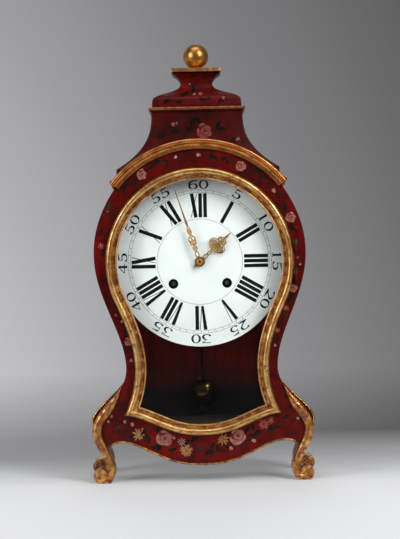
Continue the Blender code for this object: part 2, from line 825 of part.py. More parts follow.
def hood():
    low = SIDE_TOP_Z
    rings = [section(HOOD_BASE_HALF, SIDE_FRONT_Y, SIDE_BACK_Y, low)]
    for t in steps_between(0, 1, 12):
        half = HOOD_TOP_HALF + (HOOD_BASE_HALF - HOOD_TOP_HALF) * (1 - t) ** HOOD_SWEEP
        z = HOOD_EDGE_Z + (HOOD_TOP_Z - HOOD_EDGE_Z) * t
        rings.append(section(half, hood_front(half), SIDE_BACK_Y, z))
    body = loft('hood', rings, LACQUER)
    sides = 96
    reach = (ARCH_RADIUS + GAP) / math.cos(math.pi / sides)
    seat = flat('hood_seat', [circle(0, ARCH_Z, reach, sides)], FRONT_Y, BACK_Y, LACQUER)
    return boolean(body, seat, 'DIFFERENCE')


CAP_Y = (hood_front(HOOD_TOP_HALF) + SIDE_BACK_Y) / 2


def slab(name, half, depth_front, depth_back, low, high, finish):
    """Plate with its four edges eased."""
    rings = []
    for z, inset in ((low, CHAMFER), (low + CHAMFER, 0), (high - CHAMFER, 0), (high, CHAMFER)):
        rings.append(section(half - inset, depth_front + inset, depth_back - inset, z))
    return loft(name, rings, finish)


MOULDING_Z = HOOD_TOP_Z + GAP
CAP_Z = MOULDING_Z + MOULDING_HEIGHT + GAP
CAP_PLATE_Z = CAP_Z + CAP_HEIGHT + GAP
BALL_Z = CAP_PLATE_Z + PLATE_HEIGHT + GAP + BALL_RADIUS

# Cap block's side, as shares of its width beyond the neck and of its height
CAP_SHAPE = ((1.0, 0.0), (1.0, 0.12), (0.945, 0.265), (0.69, 0.378), (0.353, 0.471),
             (0.076, 0.58), (0.0, 0.724), (0.09, 0.878), (0.28, 1.0))


def top_ornament():
    slab('hood_moulding', HOOD_TOP_HALF + MOULDING_PROUD, hood_front(HOOD_TOP_HALF) - MOULDING_PROUD,
         SIDE_BACK_Y + MOULDING_PROUD, MOULDING_Z, MOULDING_Z + MOULDING_HEIGHT, GILT)
    rings = []
    for share, rise in between(CAP_SHAPE, 2):
        half = CAP_NECK_HALF + (CAP_HALF - CAP_NECK_HALF) * share
        depth = half * CAP_DEPTH_SHARE
        rings.append(section(half, CAP_Y - depth, CAP_Y + depth, CAP_Z + CAP_HEIGHT * rise))
    loft('cap_block', rings, LACQUER)
    depth = PLATE_HALF * CAP_DEPTH_SHARE
    slab('cap_plate', PLATE_HALF, CAP_Y - depth, CAP_Y + depth,
         CAP_PLATE_Z, CAP_PLATE_Z + PLATE_HEIGHT, GILT)
    work = bmesh.new()
    bmesh.ops.create_uvsphere(work, u_segments=18, v_segments=10, radius=BALL_RADIUS)
    bmesh.ops.translate(work, vec=(0, CAP_Y, BALL_Z), verts=work.verts)
    mesh = bpy.data.meshes.new('finial_ball')
    work.to_mesh(mesh)
    work.free()
    place('finial_ball', mesh, GILT)


front_board()
side_board('case_side_left', -1)
side_board('case_side_right', 1)
back_board()
roof_board()
floor_board()
apron_bead()
front_leg('leg_front_left', -1)
front_leg('leg_front_right', 1)
rear_leg('leg_rear_left', -1)
rear_leg('leg_rear_right', 1)
cornice()
hood()
top_ornament()

# Door

DOOR_FRONT_Y = FACE_Y - DOOR_THICK
LIP_Y = DOOR_FRONT_Y + DOOR_LIP
HINGE_X = DOOR_RADIUS + HINGE_OUT
HINGE_Y = DOOR_FRONT_Y + HINGE_RADIUS + GAP
DOOR_PIVOT = (HINGE_X, HINGE_Y, DIAL_Z)


def door_frame():
    crown = DOOR_CROWN
    profile = [(0, FACE_Y), (0, DOOR_FRONT_Y + 2 * crown), (crown, DOOR_FRONT_Y + crown / 2),
               (2 * crown, DOOR_FRONT_Y), (3 * crown, DOOR_FRONT_Y + crown / 2),
               (DOOR_REBATE, DOOR_FRONT_Y + 2 * crown), (DOOR_WIDTH, DOOR_FRONT_Y + 2 * crown),
               (DOOR_WIDTH, LIP_Y), (DOOR_REBATE, LIP_Y), (DOOR_REBATE, FACE_Y)]
    lines = [(door_line(inset), y) for inset, y in profile]
    rings = []
    for i in range(len(lines[0][0])):
        rings.append([(line[i][0], y, line[i][1]) for line, y in lines])
    return loft('door_frame', rings, GILT, closed=True)


def case_hinge(name, z):
    """Leaf on the case with the lower half of the knuckle and its pin."""
    profile = [(0, z + HINGE_HEIGHT), (HINGE_PIN_RADIUS, z + HINGE_HEIGHT), (HINGE_PIN_RADIUS, z),
               (HINGE_RADIUS, z), (HINGE_RADIUS, z - HINGE_HEIGHT), (0, z - HINGE_HEIGHT)]
    knuckle = turned(name, profile, (HINGE_X, HINGE_Y, 0), BRASS, 12, upright=True)
    near = HINGE_X - HINGE_RADIUS / 2
    low = z - HINGE_HEIGHT + 2 * GAP
    high = z - 2 * GAP
    neck = block('neck', (near, HINGE_Y, low), (near + HINGE_RADIUS, FACE_Y, high), BRASS)
    leaf = block('leaf', (near + GAP, FACE_Y - HINGE_LEAF, low - GAP),
                 (HINGE_X + HINGE_LEAF_WIDTH, FACE_Y - GAP / 3, high + GAP), BRASS)
    return join([knuckle, neck, leaf])


def door_hinge(name, z):
    """Upper half of the knuckle with the strap that holds it to the door."""
    bore = HINGE_PIN_RADIUS + GAP
    low = z + GAP
    high = z + HINGE_HEIGHT - GAP
    tube = turned(name, [(HINGE_RADIUS, high), (HINGE_RADIUS, low), (bore, low), (bore, high)],
                  (HINGE_X, HINGE_Y, 0), BRASS, 12, upright=True, closed=True)
    reach = DOOR_RADIUS + GAP
    arm = []
    for spot in steps_between(low + GAP, high - GAP, 3):
        arm.append((math.sqrt(reach ** 2 - (spot - DIAL_Z) ** 2), spot))
    far = HINGE_X - (HINGE_RADIUS + bore) / 2
    arm += [(far, high - GAP), (far, low + GAP)]
    strap = flat('strap', [arm], HINGE_Y - HINGE_RADIUS / 2, HINGE_Y + HINGE_RADIUS / 2, BRASS)
    return pivot(join([tube, strap]), DOOR_PIVOT)


pivot(door_frame(), DOOR_PIVOT)
pane = flat('door_glass', [door_line(DOOR_REBATE + GAP)], LIP_Y + GAP, LIP_Y + GAP + GLASS_THICK, GLASS)
pivot(pane, DOOR_PIVOT)
for place_word, hinge_z in (('upper', DIAL_Z + HINGE_OFFSET), ('lower', DIAL_Z - HINGE_OFFSET)):
    case_hinge('hinge_case_' + place_word, hinge_z)
    door_hinge('hinge_door_' + place_word, hinge_z)

# Wheel centres, seen from the front as (x, z)

CENTRE = (0.0, DIAL_Z)
GOING = (WIND_X, DIAL_Z - WIND_DROP)
STRIKE = (-WIND_X, DIAL_Z - WIND_DROP)
SECOND_PINION = GREAT_RADIUS * SECOND_LEAVES / GREAT_TEETH
CENTRE_PINION = SECOND_RADIUS * CENTRE_LEAVES / SECOND_TEETH
THIRD_PINION = CENTRE_RADIUS * THIRD_LEAVES / CENTRE_TEETH
ESCAPE_PINION = THIRD_RADIUS * ESCAPE_LEAVES / THIRD_TEETH
PIN_PINION = SECOND_RADIUS * PIN_LEAVES / SECOND_TEETH
FLY_PINION = PIN_RADIUS * FLY_LEAVES / PIN_TEETH
CANNON_RADIUS = MINUTE_RADIUS * CANNON_TEETH / MINUTE_TEETH
MINUTE_RISE = MINUTE_RADIUS + CANNON_RADIUS
HOUR_RADIUS = MINUTE_RISE * HOUR_TEETH / (HOUR_TEETH + MINUTE_LEAVES)
MINUTE_PINION = MINUTE_RISE - HOUR_RADIUS
PALLET = (0.0, DIAL_Z + PALLET_RISE)
ESCAPE = (0.0, PALLET[1] - ESCAPE_RADIUS * math.sqrt(2))
GOING_SECOND = apart(CENTRE, GOING, SECOND_RADIUS + CENTRE_PINION, GREAT_RADIUS + SECOND_PINION, 1)
THIRD = apart(CENTRE, ESCAPE, CENTRE_RADIUS + THIRD_PINION, THIRD_RADIUS + ESCAPE_PINION, 1)
STRIKE_SECOND = off(STRIKE, GREAT_RADIUS + SECOND_PINION, 95)
PIN = off(STRIKE_SECOND, SECOND_RADIUS + PIN_PINION, 100)
FLY = off(PIN, PIN_RADIUS + FLY_PINION, 50)
HAMMER = (HAMMER_X, DIAL_Z + HAMMER_RISE)
MINUTE_POST = (0.0, DIAL_Z + MINUTE_RISE)


def wheel(x, z, teeth, radius, tip_angle, layer, thick=WHEEL_THICK, hole=0.0):
    outlines = [toothed(x, z, teeth, radius, tip_angle)]
    if hole:
        outlines.append(circle(x, z, hole))
    return flat('wheel', outlines, layer, layer + thick, BRASS)


def pinion(x, z, leaves, radius, tip_angle, layer):
    """Leaves cut on an arbor, longer than the wheel in the same layer on both sides."""
    front = layer + WHEEL_THICK / 2 - PINION_LENGTH / 2
    return flat('pinion', [toothed(x, z, leaves, radius, tip_angle)], front, front + PINION_LENGTH, STEEL)


def arbor(name, at, finish=STEEL):
    """Plain arbor between the plates with a pivot at each end."""
    stations = [(PLATE_Y, PIVOT_RADIUS), (IN_Y + GAP, PIVOT_RADIUS), (IN_Y + GAP, ARBOR_RADIUS),
                (OUT_Y - GAP, ARBOR_RADIUS), (OUT_Y - GAP, PIVOT_RADIUS), (REAR_Y, PIVOT_RADIUS)]
    return rod(name, at[0], at[1], stations, finish, 9)


def on_axis(piece, at, y=IN_Y):
    return pivot(piece, (at[0], y, at[1]))


# Spring barrels and winding work

def barrel(name, at, other):
    """Drum with its great wheel, open round the arbor at both ends."""
    bore = WIND_ARBOR_RADIUS + GAP
    inside = BARREL_RADIUS - BARREL_WALL
    front = BARREL_LAYER
    back = BARREL_LAYER + BARREL_LENGTH
    profile = [(bore, back), (BARREL_RADIUS, back), (BARREL_RADIUS, front), (bore, front),
               (bore, front + BARREL_WALL), (inside, front + BARREL_WALL), (inside, back - BARREL_WALL),
               (bore, back - BARREL_WALL)]
    drum = turned(name, profile, (at[0], 0, at[1]), BRASS, 20, closed=True)
    great = wheel(*at, GREAT_TEETH, GREAT_RADIUS, heading(at, other), GREAT_LAYER, GREAT_THICK, 2 * bore)
    return on_axis(join([drum, great]), at)


def mainspring(name, at):
    inner = WIND_ARBOR_RADIUS + 2 * GAP
    outer = BARREL_RADIUS - BARREL_WALL - 2 * GAP - SPRING_THICK
    per_turn = 12
    count = SPRING_TURNS * per_turn
    edge = []
    back = []
    for i in range(count + 1):
        angle = 2 * math.pi * i / per_turn
        radius = inner + (outer - inner) * i / count
        edge.append((at[0] + radius * math.cos(angle), at[1] + radius * math.sin(angle)))
        radius += SPRING_THICK
        back.append((at[0] + radius * math.cos(angle), at[1] + radius * math.sin(angle)))
    front = BARREL_LAYER + BARREL_WALL + 2 * GAP
    rear = BARREL_LAYER + BARREL_LENGTH - BARREL_WALL - 2 * GAP
    return on_axis(flat(name, [edge + list(reversed(back))], front, rear, STEEL), at)


def winding_arbor(name, at):
    stations = [(RATCHET_FRONT_Y - WIND_SHOULDER, WIND_PIVOT_RADIUS), (IN_Y + 2 * GAP, WIND_PIVOT_RADIUS),
                (IN_Y + 2 * GAP, WIND_ARBOR_RADIUS), (OUT_Y - 2 * GAP, WIND_ARBOR_RADIUS),
                (OUT_Y - 2 * GAP, WIND_PIVOT_RADIUS), (REAR_Y, WIND_PIVOT_RADIUS)]
    shaft = rod(name, *at, stations, STEEL, 14)
    front = RATCHET_FRONT_Y - WIND_SHOULDER / 2
    half = WIND_SQUARE_HALF
    square = block('square', (at[0] - half, front - WIND_SQUARE_LENGTH, at[1] - half),
                   (at[0] + half, front, at[1] + half), STEEL)
    return on_axis(join([shaft, square]), at)


def ratchet(name, at):
    points = []
    for i in range(2 * RATCHET_TEETH):
        radius = RATCHET_RADIUS if i % 2 == 0 else RATCHET_RADIUS * RATCHET_ROOT_SHARE
        points += circle(*at, radius, 1, math.pi * i / RATCHET_TEETH)
    hole = circle(*at, WIND_PIVOT_RADIUS + GAP, 14)
    return on_axis(flat(name, [points, hole], RATCHET_FRONT_Y, RATCHET_BACK_Y, STEEL), at)


def click_pivot(at, side):
    angle = CLICK_DEG if side > 0 else 180 - CLICK_DEG
    return off(at, RATCHET_RADIUS + CLICK_OUT, angle)


def click(name, at, side):
    """Pawl on a stud, stored with its nose just clear of the ratchet's teeth."""
    stud = click_pivot(at, side)
    angle = CLICK_DEG - CLICK_NOSE_DEG
    nose = off(at, RATCHET_RADIUS + 2 * GAP, angle if side > 0 else 180 - angle)
    way = heading(stud, nose)
    hub = [off(stud, CLICK_HUB, math.degrees(way) + turn) for turn in (75, 120, 180, 240, 285)]
    hole = circle(*stud, CLICK_STUD + GAP, 10)
    return on_axis(flat(name, [[nose] + hub, hole], RATCHET_FRONT_Y, RATCHET_BACK_Y, STEEL), stud)


for train, spot, mate, hand in (('going', GOING, GOING_SECOND, 1), ('strike', STRIKE, STRIKE_SECOND, -1)):
    barrel(train + '_barrel', spot, mate)
    mainspring(train + '_mainspring', spot)
    winding_arbor(train + '_winding_arbor', spot)
    ratchet(train + '_ratchet', spot)
    click(train + '_click', spot, hand)

# Going train

def second_wheel(name, at, great, mate):
    """Pinion in the great wheel's layer and a wheel one layer back."""
    leaves = pinion(*at, SECOND_LEAVES, SECOND_PINION, gap_towards(at, great, SECOND_LEAVES),
                    GREAT_LAYER + GREAT_THICK / 2 - WHEEL_THICK / 2)
    disc = wheel(*at, SECOND_TEETH, SECOND_RADIUS, heading(at, mate), SECOND_LAYER)
    return on_axis(join([arbor(name, at, BRASS), leaves, disc]), at)


def centre_wheel():
    stations = [(CENTRE_FRONT_Y, CENTRE_ARBOR), (OUT_Y - GAP, CENTRE_ARBOR),
                (OUT_Y - GAP, PIVOT_RADIUS), (REAR_Y, PIVOT_RADIUS)]
    shaft = rod('centre_wheel', *CENTRE, stations, BRASS, 12)
    leaves = pinion(*CENTRE, CENTRE_LEAVES, CENTRE_PINION, gap_towards(CENTRE, GOING_SECOND, CENTRE_LEAVES),
                    SECOND_LAYER)
    disc = wheel(*CENTRE, CENTRE_TEETH, CENTRE_RADIUS, heading(CENTRE, THIRD), CENTRE_LAYER)
    return on_axis(join([shaft, leaves, disc]), CENTRE)


def third_wheel():
    tip = gap_towards(THIRD, CENTRE, THIRD_LEAVES)
    leaves = pinion(*THIRD, THIRD_LEAVES, THIRD_PINION, tip, CENTRE_LAYER)
    disc = wheel(*THIRD, THIRD_TEETH, THIRD_RADIUS, heading(THIRD, ESCAPE), THIRD_LAYER)
    return on_axis(join([arbor('third_wheel', THIRD, BRASS), leaves, disc]), THIRD)


def escape_wheel():
    points = []
    for i in range(2 * ESCAPE_TEETH):
        radius = ESCAPE_RADIUS if i % 2 == 0 else ESCAPE_RADIUS * ESCAPE_ROOT_SHARE
        points += circle(*ESCAPE, radius, 1, math.pi * i / ESCAPE_TEETH)
    disc = flat('disc', [points], ESCAPE_LAYER, ESCAPE_LAYER + WHEEL_THICK, BRASS)
    tip = gap_towards(ESCAPE, THIRD, ESCAPE_LEAVES)
    leaves = pinion(*ESCAPE, ESCAPE_LEAVES, ESCAPE_PINION, tip, THIRD_LAYER)
    return on_axis(join([arbor('escape_wheel', ESCAPE, BRASS), leaves, disc]), ESCAPE)


second_wheel('going_second_wheel', GOING_SECOND, GOING, CENTRE)
centre_wheel()
third_wheel()
escape_wheel()

# Anchor, crutch and pendulum

PIVOT_Z = PALLET[1]
BOB_Z = FLOOR_TOP_Z + BOB_RISE
COCK_Y = REAR_Y + COCK_BEHIND
COCK_BACK_Y = PENDULUM_Y + SUSPENSION_WIDTH / 2 + COCK_PAST
CRUTCH_Y = REAR_Y + CRUTCH_BEHIND

# Right half of the anchor, from the arbor, as (across, up) in shares of the escape wheel's radius
ANCHOR_HALF = ((0.0, -0.28), (0.38, -0.19), (0.80, -0.65), (0.95, -0.72), (0.93, -0.45),
               (0.5, 0.12), (0.0, 0.25))


def anchor():
    stations = [(PLATE_Y, PIVOT_RADIUS), (IN_Y + GAP, PIVOT_RADIUS), (IN_Y + GAP, ARBOR_RADIUS),
                (COCK_Y - GAP, ARBOR_RADIUS), (COCK_Y - GAP, PIVOT_RADIUS),
                (COCK_Y + COCK_PIVOT, PIVOT_RADIUS)]
    shaft = rod('anchor', *PALLET, stations, STEEL, 10)
    half = [(across * ESCAPE_RADIUS, PIVOT_Z + up * ESCAPE_RADIUS) for across, up in ANCHOR_HALF]
    arms = flat('arms', [mirrored(half)], ESCAPE_LAYER - GAP, ESCAPE_LAYER + WHEEL_THICK + GAP, STEEL)
    low = PIVOT_Z - CRUTCH_DROP
    stem = block('stem', (-CRUTCH_HALF, CRUTCH_Y, low),
                 (CRUTCH_HALF, CRUTCH_Y + CRUTCH_THICK, PIVOT_Z + CRUTCH_RISE), STEEL)
    near = ROD_RADIUS + GAP
    far = near + PRONG
    bar = block('bar', (-far, CRUTCH_Y + GAP, low - CRUTCH_BAR),
                (far, CRUTCH_Y + CRUTCH_THICK - GAP, low + CRUTCH_BAR), STEEL)
    prongs = []
    for side in (-1, 1):
        ends = sorted((side * near, side * (far - GAP)))
        prongs.append(block('prong', (ends[0], CRUTCH_Y + 2 * GAP, low - PRONG),
                            (ends[1], PENDULUM_Y + PRONG_PAST, low + PRONG), STEEL))
    return on_axis(join([shaft, arms, stem, bar] + prongs), PALLET)


def back_cock():
    """Bridge behind the back plate that carries the anchor's rear pivot and the suspension spring."""
    body = block('back_cock', (-COCK_HALF, COCK_Y, PIVOT_Z - COCK_LOW),
                 (COCK_HALF, COCK_BACK_Y, PIVOT_Z + COCK_HIGH), BRASS)
    feet = []
    for side in (-1, 1):
        ends = sorted((side * (COCK_HALF - GAP), side * (COCK_HALF - COCK_FOOT)))
        feet.append(block('foot', (ends[0], REAR_Y + GAP, PIVOT_Z - COCK_LOW + GAP),
                          (ends[1], COCK_Y + OVERLAP, PIVOT_Z + COCK_HIGH - GAP), BRASS))
    body = join([body] + feet)
    bore = PIVOT_RADIUS + GAP
    hole = rod('hole', *PALLET, [(COCK_Y - OVERLAP, bore), (COCK_Y + COCK_PIVOT + 2 * GAP, bore)], BRASS, 10)
    body = boolean(body, hole, 'DIFFERENCE')
    half = SUSPENSION_THICK / 2 + SWING_GAP
    wide = SUSPENSION_WIDTH / 2 + GAP
    slot = block('slot', (-half, PENDULUM_Y - wide, PIVOT_Z - COCK_LOW - OVERLAP),
                 (half, PENDULUM_Y + wide, PIVOT_Z + SUSPENSION_RISE + 2 * GAP), BRASS)
    return boolean(body, slot, 'DIFFERENCE')


# Side of the lens-shaped bob, as shares of its radius and of half its thickness
BOB_SHAPE = ((0.5, 0.8), (0.85, 0.36))


def pendulum():
    pin = (0, PENDULUM_Y, PIVOT_Z)
    strip_low = PIVOT_Z - SUSPENSION_LENGTH
    near = PENDULUM_Y - SUSPENSION_WIDTH / 2
    far = PENDULUM_Y + SUSPENSION_WIDTH / 2
    strip = block('suspension_spring', (-SUSPENSION_THICK / 2, near, strip_low),
                  (SUSPENSION_THICK / 2, far, PIVOT_Z + SUSPENSION_RISE), STEEL)
    pivot(strip, pin)
    top = strip_low - GAP
    low = BOB_Z - BOB_RADIUS - ROD_BELOW
    stem = turned('pendulum_rod', [(0, top - GAP), (ROD_RADIUS, top - GAP), (ROD_RADIUS, low), (0, low)],
                  (0, PENDULUM_Y, 0), STEEL, 10, upright=True)
    clip = block('clip', (-CLIP_HALF, near, top - CLIP_HEIGHT), (CLIP_HALF, far, top), STEEL)
    pivot(join([stem, clip]), pin)
    half = BOB_THICK / 2
    face = [(0, half)]
    face += [(BOB_RADIUS * wide, half * thick) for wide, thick in BOB_SHAPE]
    face.append((BOB_RADIUS, BOB_RIM))
    profile = face + [(radius, -height) for radius, height in reversed(face)]
    lens = turned('pendulum_bob', profile, (0, PENDULUM_Y, BOB_Z), BRASS, 28)
    reach = BOB_RADIUS + OVERLAP
    bore = ROD_RADIUS + GAP
    way = turned('way', [(0, reach), (bore, reach), (bore, -reach), (0, -reach)],
                 (0, PENDULUM_Y, BOB_Z), BRASS, 12, upright=True)
    pivot(boolean(lens, way, 'DIFFERENCE'), pin)
    nut_top = BOB_Z - BOB_RADIUS - GAP
    nut_low = nut_top - NUT_HEIGHT
    profile = [(NUT_RADIUS, nut_top), (NUT_RADIUS, nut_low), (bore, nut_low), (bore, nut_top)]
    nut = turned('rating_nut', profile, (0, PENDULUM_Y, 0), BRASS, 16, upright=True, closed=True)
    pivot(nut, pin)


anchor()
back_cock()
pendulum()

# Striking train, hammer and bell

BELL_Y = HAMMER_LAYER + HAMMER_THICK / 2
BELL_Z = DIAL_Z + BELL_RISE
BELL_TOP_Z = BELL_Z + BELL_HEIGHT

# Side of the bell, as shares of its radius and of its height down from the top
BELL_SHAPE = ((0.53, 0.12), (0.83, 0.42))


def pin_wheel():
    tip = gap_towards(PIN, STRIKE_SECOND, PIN_LEAVES)
    leaves = pinion(*PIN, PIN_LEAVES, PIN_PINION, tip, SECOND_LAYER)
    disc = wheel(*PIN, PIN_TEETH, PIN_RADIUS, heading(PIN, FLY), PIN_LAYER)
    pieces = [arbor('pin_wheel', PIN, BRASS), leaves, disc]
    ends = [(HAMMER_LAYER - OVERLAP, STRIKE_PIN), (PIN_LAYER + WHEEL_THICK / 2, STRIKE_PIN)]
    for x, z in circle(*PIN, PIN_CIRCLE, PIN_COUNT):
        pieces.append(rod('pin', x, z, ends, STEEL, 6))
    return on_axis(join(pieces), PIN)


def fly():
    leaves = pinion(*FLY, FLY_LEAVES, FLY_PINION, gap_towards(FLY, PIN, FLY_LEAVES), PIN_LAYER)
    front = PIN_LAYER + FLY_BEHIND
    vane = block('vane', (FLY[0] - FLY_HALF, front, FLY[1] - GAP),
                 (FLY[0] + FLY_HALF, front + FLY_LENGTH, FLY[1] + GAP), BRASS)
    return on_axis(join([arbor('fly', FLY, STEEL), leaves, vane]), FLY)


def hammer():
    """Arbor with a tail by the pin wheel and an arm up to a head beside the rim of the bell."""
    head = (-(BELL_RADIUS + HAMMER_HEAD + GAP), BELL_Z + HAMMER_HEAD / 2)
    tail = off(PIN, PIN_CIRCLE + STRIKE_PIN + HAMMER_TAIL_GAP, math.degrees(heading(PIN, HAMMER)))
    back = HAMMER_LAYER + HAMMER_THICK

    def bar(name, start, end):
        way = math.degrees(heading(start, end))
        outline = [off(start, HAMMER_ARM, way - 90), off(end, HAMMER_ARM, way - 90),
                   off(end, HAMMER_ARM, way + 90), off(start, HAMMER_ARM, way + 90)]
        return flat(name, [outline], HAMMER_LAYER, back, STEEL)

    ends = [(HAMMER_LAYER - OVERLAP, HAMMER_HUB), (back + OVERLAP, HAMMER_HUB)]
    hub = rod('hub', *HAMMER, ends, STEEL, 12)
    ends = [(BELL_Y - HAMMER_HEAD_HALF, HAMMER_HEAD), (BELL_Y + HAMMER_HEAD_HALF, HAMMER_HEAD)]
    knob = rod('knob', *head, ends, STEEL, 16)
    bars = [bar('arm', HAMMER, head), bar('tail', HAMMER, tail)]
    return on_axis(join([arbor('hammer', HAMMER), hub] + bars + [knob]), HAMMER)


def bell():
    hole = STAND_RADIUS + GAP
    top = BELL_TOP_Z
    shoulder, side = [(BELL_RADIUS * wide, top - BELL_HEIGHT * down) for wide, down in BELL_SHAPE]
    outer = [(hole, top), shoulder, side, (BELL_RADIUS, BELL_Z)]
    inner = [(BELL_RADIUS - BELL_WALL, BELL_Z), (side[0] - BELL_WALL, side[1] - BELL_WALL / 3),
             (shoulder[0] - BELL_WALL / 2, shoulder[1] - BELL_WALL), (hole, top - BELL_WALL)]
    return turned('bell', outer + inner, (0, BELL_Y, 0), BELL_METAL, 20, upright=True, closed=True)


def bell_stand():
    """Steel rod up from the back plate and over the bell, which hangs on a collar at its end."""
    curve = bpy.data.curves.new('bell_stand', 'CURVE')
    curve.dimensions = '3D'
    curve.bevel_depth = STAND_RADIUS
    curve.bevel_resolution = 1
    curve.use_fill_caps = True
    behind = REAR_Y + GAP + STAND_RADIUS
    over = BELL_TOP_Z + STAND_OVER
    low = BELL_TOP_Z - BELL_WALL - STAND_PAST
    route = [(STAND_X, behind, DIAL_Z + STAND_LOW), (STAND_X, behind, DIAL_Z + STAND_MIDDLE),
             (STAND_X, behind, BELL_Z), (STAND_X * 0.8, behind * 0.8, BELL_TOP_Z),
             (STAND_X * 0.4, behind * 0.4, over), (0, BELL_Y, over - STAND_TURN),
             (0, BELL_Y, BELL_TOP_Z + STAND_STRAIGHT), (0, BELL_Y, BELL_TOP_Z + OVERLAP), (0, BELL_Y, low)]
    line = between(route, 2)
    spline = curve.splines.new('POLY')
    spline.points.add(len(line) - 1)
    for point, spot in zip(spline.points, line):
        point.co = (*spot, 1)
    stem = settle('bell_stand', bpy.data.objects.new('bell_stand_drawing', curve), STEEL)
    collar_top = BELL_TOP_Z - BELL_WALL - 3 * GAP
    collar_low = collar_top - COLLAR_THICK
    wide = 2 * STAND_RADIUS
    collar = turned('collar', [(0, collar_top), (wide, collar_top), (wide, collar_low), (0, collar_low)],
                    (0, BELL_Y, 0), STEEL, 12, upright=True)
    return join([stem, collar])


second_wheel('strike_second_wheel', STRIKE_SECOND, STRIKE, PIN)
pin_wheel()
fly()
hammer()
bell()
bell_stand()

# Plates and the board that they stand on

def plate(name, front, holes):
    bottom = DIAL_Z + PLATE_BOTTOM
    top = DIAL_Z + PLATE_TOP
    outline = [(-PLATE_WIDE_HALF, bottom), (PLATE_WIDE_HALF, bottom),
               (PLATE_WIDE_HALF, top), (-PLATE_WIDE_HALF, top)]
    cuts = [circle(*at, radius + GAP, 8, 0.1 * i) for i, (at, radius) in enumerate(holes)]
    return flat(name, [outline] + cuts, front, front + PLATE_THICK, BRASS)


PIVOTS = [(at, PIVOT_RADIUS) for at in (GOING_SECOND, THIRD, ESCAPE, STRIKE_SECOND, PIN, FLY, HAMMER)]
PIVOTS += [(GOING, WIND_PIVOT_RADIUS), (STRIKE, WIND_PIVOT_RADIUS)]


def front_plate():
    sheet = plate('front_plate', PLATE_Y, PIVOTS + [(CENTRE, CENTRE_ARBOR), (PALLET, PIVOT_RADIUS)])
    root = PLATE_Y + PLATE_THICK / 2
    ends = [(HOUR_LAYER - WHEEL_THICK, MOTION_POST), (root, MOTION_POST)]
    posts = [rod('post', *MINUTE_POST, ends, STEEL, 12)]
    for at, side in ((GOING, 1), (STRIKE, -1)):
        stud = click_pivot(at, side)
        ends = [(RATCHET_FRONT_Y - GAP, CLICK_STUD), (root, CLICK_STUD)]
        posts.append(rod('stud', *stud, ends, STEEL, 10))
    return join([sheet] + posts)


def back_plate():
    sheet = plate('back_plate', OUT_Y, PIVOTS + [(CENTRE, PIVOT_RADIUS), (PALLET, PALLET_HOLE)])
    across = PLATE_WIDE_HALF - PILLAR_INSET
    ends = [(IN_Y + GAP, PILLAR_RADIUS), (OUT_Y + PLATE_THICK / 2, PILLAR_RADIUS)]
    pillars = []
    for x in (-across, across):
        for z in (DIAL_Z + PLATE_BOTTOM + PILLAR_INSET, DIAL_Z + PLATE_TOP - PILLAR_INSET):
            pillars.append(rod('pillar', x, z, ends, BRASS, 12))
    return join([sheet] + pillars)


def seat_board():
    top = DIAL_Z + PLATE_BOTTOM - GAP
    bottom = top - SEAT_THICK
    outline = []
    for z, side in ((bottom, -1), (bottom, 1), (top, 1), (top, -1)):
        outline.append((side * (case_half(z) - SIDE_THICK - BOWED_GAP), z))
    return flat('seat_board', [outline], PLATE_Y - SEAT_PROUD, REAR_Y - SEAT_INSET, STAINED)


# Motion work, dial and hands

CANNON_BORE = CENTRE_ARBOR + GAP
CANNON_OUTER = CANNON_BORE + CANNON_WALL
PIPE_BORE = CANNON_OUTER + GAP
PIPE_OUTER = PIPE_BORE + PIPE_WALL


def sleeve(name, at, bore, outer, front, back, finish):
    profile = [(outer, back), (outer, front), (bore, front), (bore, back)]
    return turned(name, profile, (at[0], 0, at[1]), finish, 14, closed=True)


def cannon_pinion():
    tube = sleeve('cannon_pinion', CENTRE, CANNON_BORE, CANNON_OUTER, MINUTE_HAND_Y - HAND_THICK - GAP,
                  PLATE_Y - GAP, STEEL)
    tip = gap_towards(CENTRE, MINUTE_POST, CANNON_TEETH)
    outlines = [toothed(*CENTRE, CANNON_TEETH, CANNON_RADIUS, tip),
                circle(*CENTRE, (CANNON_BORE + CANNON_OUTER) / 2, 14)]
    leaves = flat('leaves', outlines, MINUTE_LAYER - OVERLAP, MINUTE_LAYER + WHEEL_THICK + OVERLAP, STEEL)
    return on_axis(join([tube, leaves]), CENTRE)


def minute_wheel():
    """Wheel with the pinion that drives the hour wheel, bored to turn on its post."""
    disc = wheel(*MINUTE_POST, MINUTE_TEETH, MINUTE_RADIUS, heading(MINUTE_POST, CENTRE), MINUTE_LAYER)
    disc.name = 'minute_wheel'
    front = HOUR_LAYER - GAP
    tip = gap_towards(MINUTE_POST, CENTRE, MINUTE_LEAVES)
    leaves = flat('leaves', [toothed(*MINUTE_POST, MINUTE_LEAVES, MINUTE_PINION, tip)],
                  front, MINUTE_LAYER + WHEEL_THICK / 2, STEEL)
    room = MOTION_POST + GAP
    bore = rod('bore', *MINUTE_POST, [(front - GAP, room), (PLATE_Y, room)], STEEL, 12)
    return on_axis(boolean(join([disc, leaves]), bore, 'DIFFERENCE'), MINUTE_POST)


def hour_wheel():
    pipe = sleeve('hour_wheel', CENTRE, PIPE_BORE, PIPE_OUTER, HOUR_HAND_Y - HAND_THICK - GAP,
                  HOUR_LAYER + PIPE_TUCK, BRASS)
    disc = wheel(*CENTRE, HOUR_TEETH, HOUR_RADIUS, heading(CENTRE, MINUTE_POST), HOUR_LAYER,
                 hole=(PIPE_BORE + PIPE_OUTER) / 2)
    return on_axis(join([pipe, disc]), CENTRE)


DIAL_FEET = ((-DIAL_FOOT_ACROSS, DIAL_FOOT_UP), (DIAL_FOOT_ACROSS, DIAL_FOOT_UP), (0.0, -DIAL_FOOT_DOWN))


def dial_back(radius):
    return DIAL_RIM_Y - DIAL_DOME * (1 - (radius / DIAL_RADIUS) ** 2) + DIAL_THICK


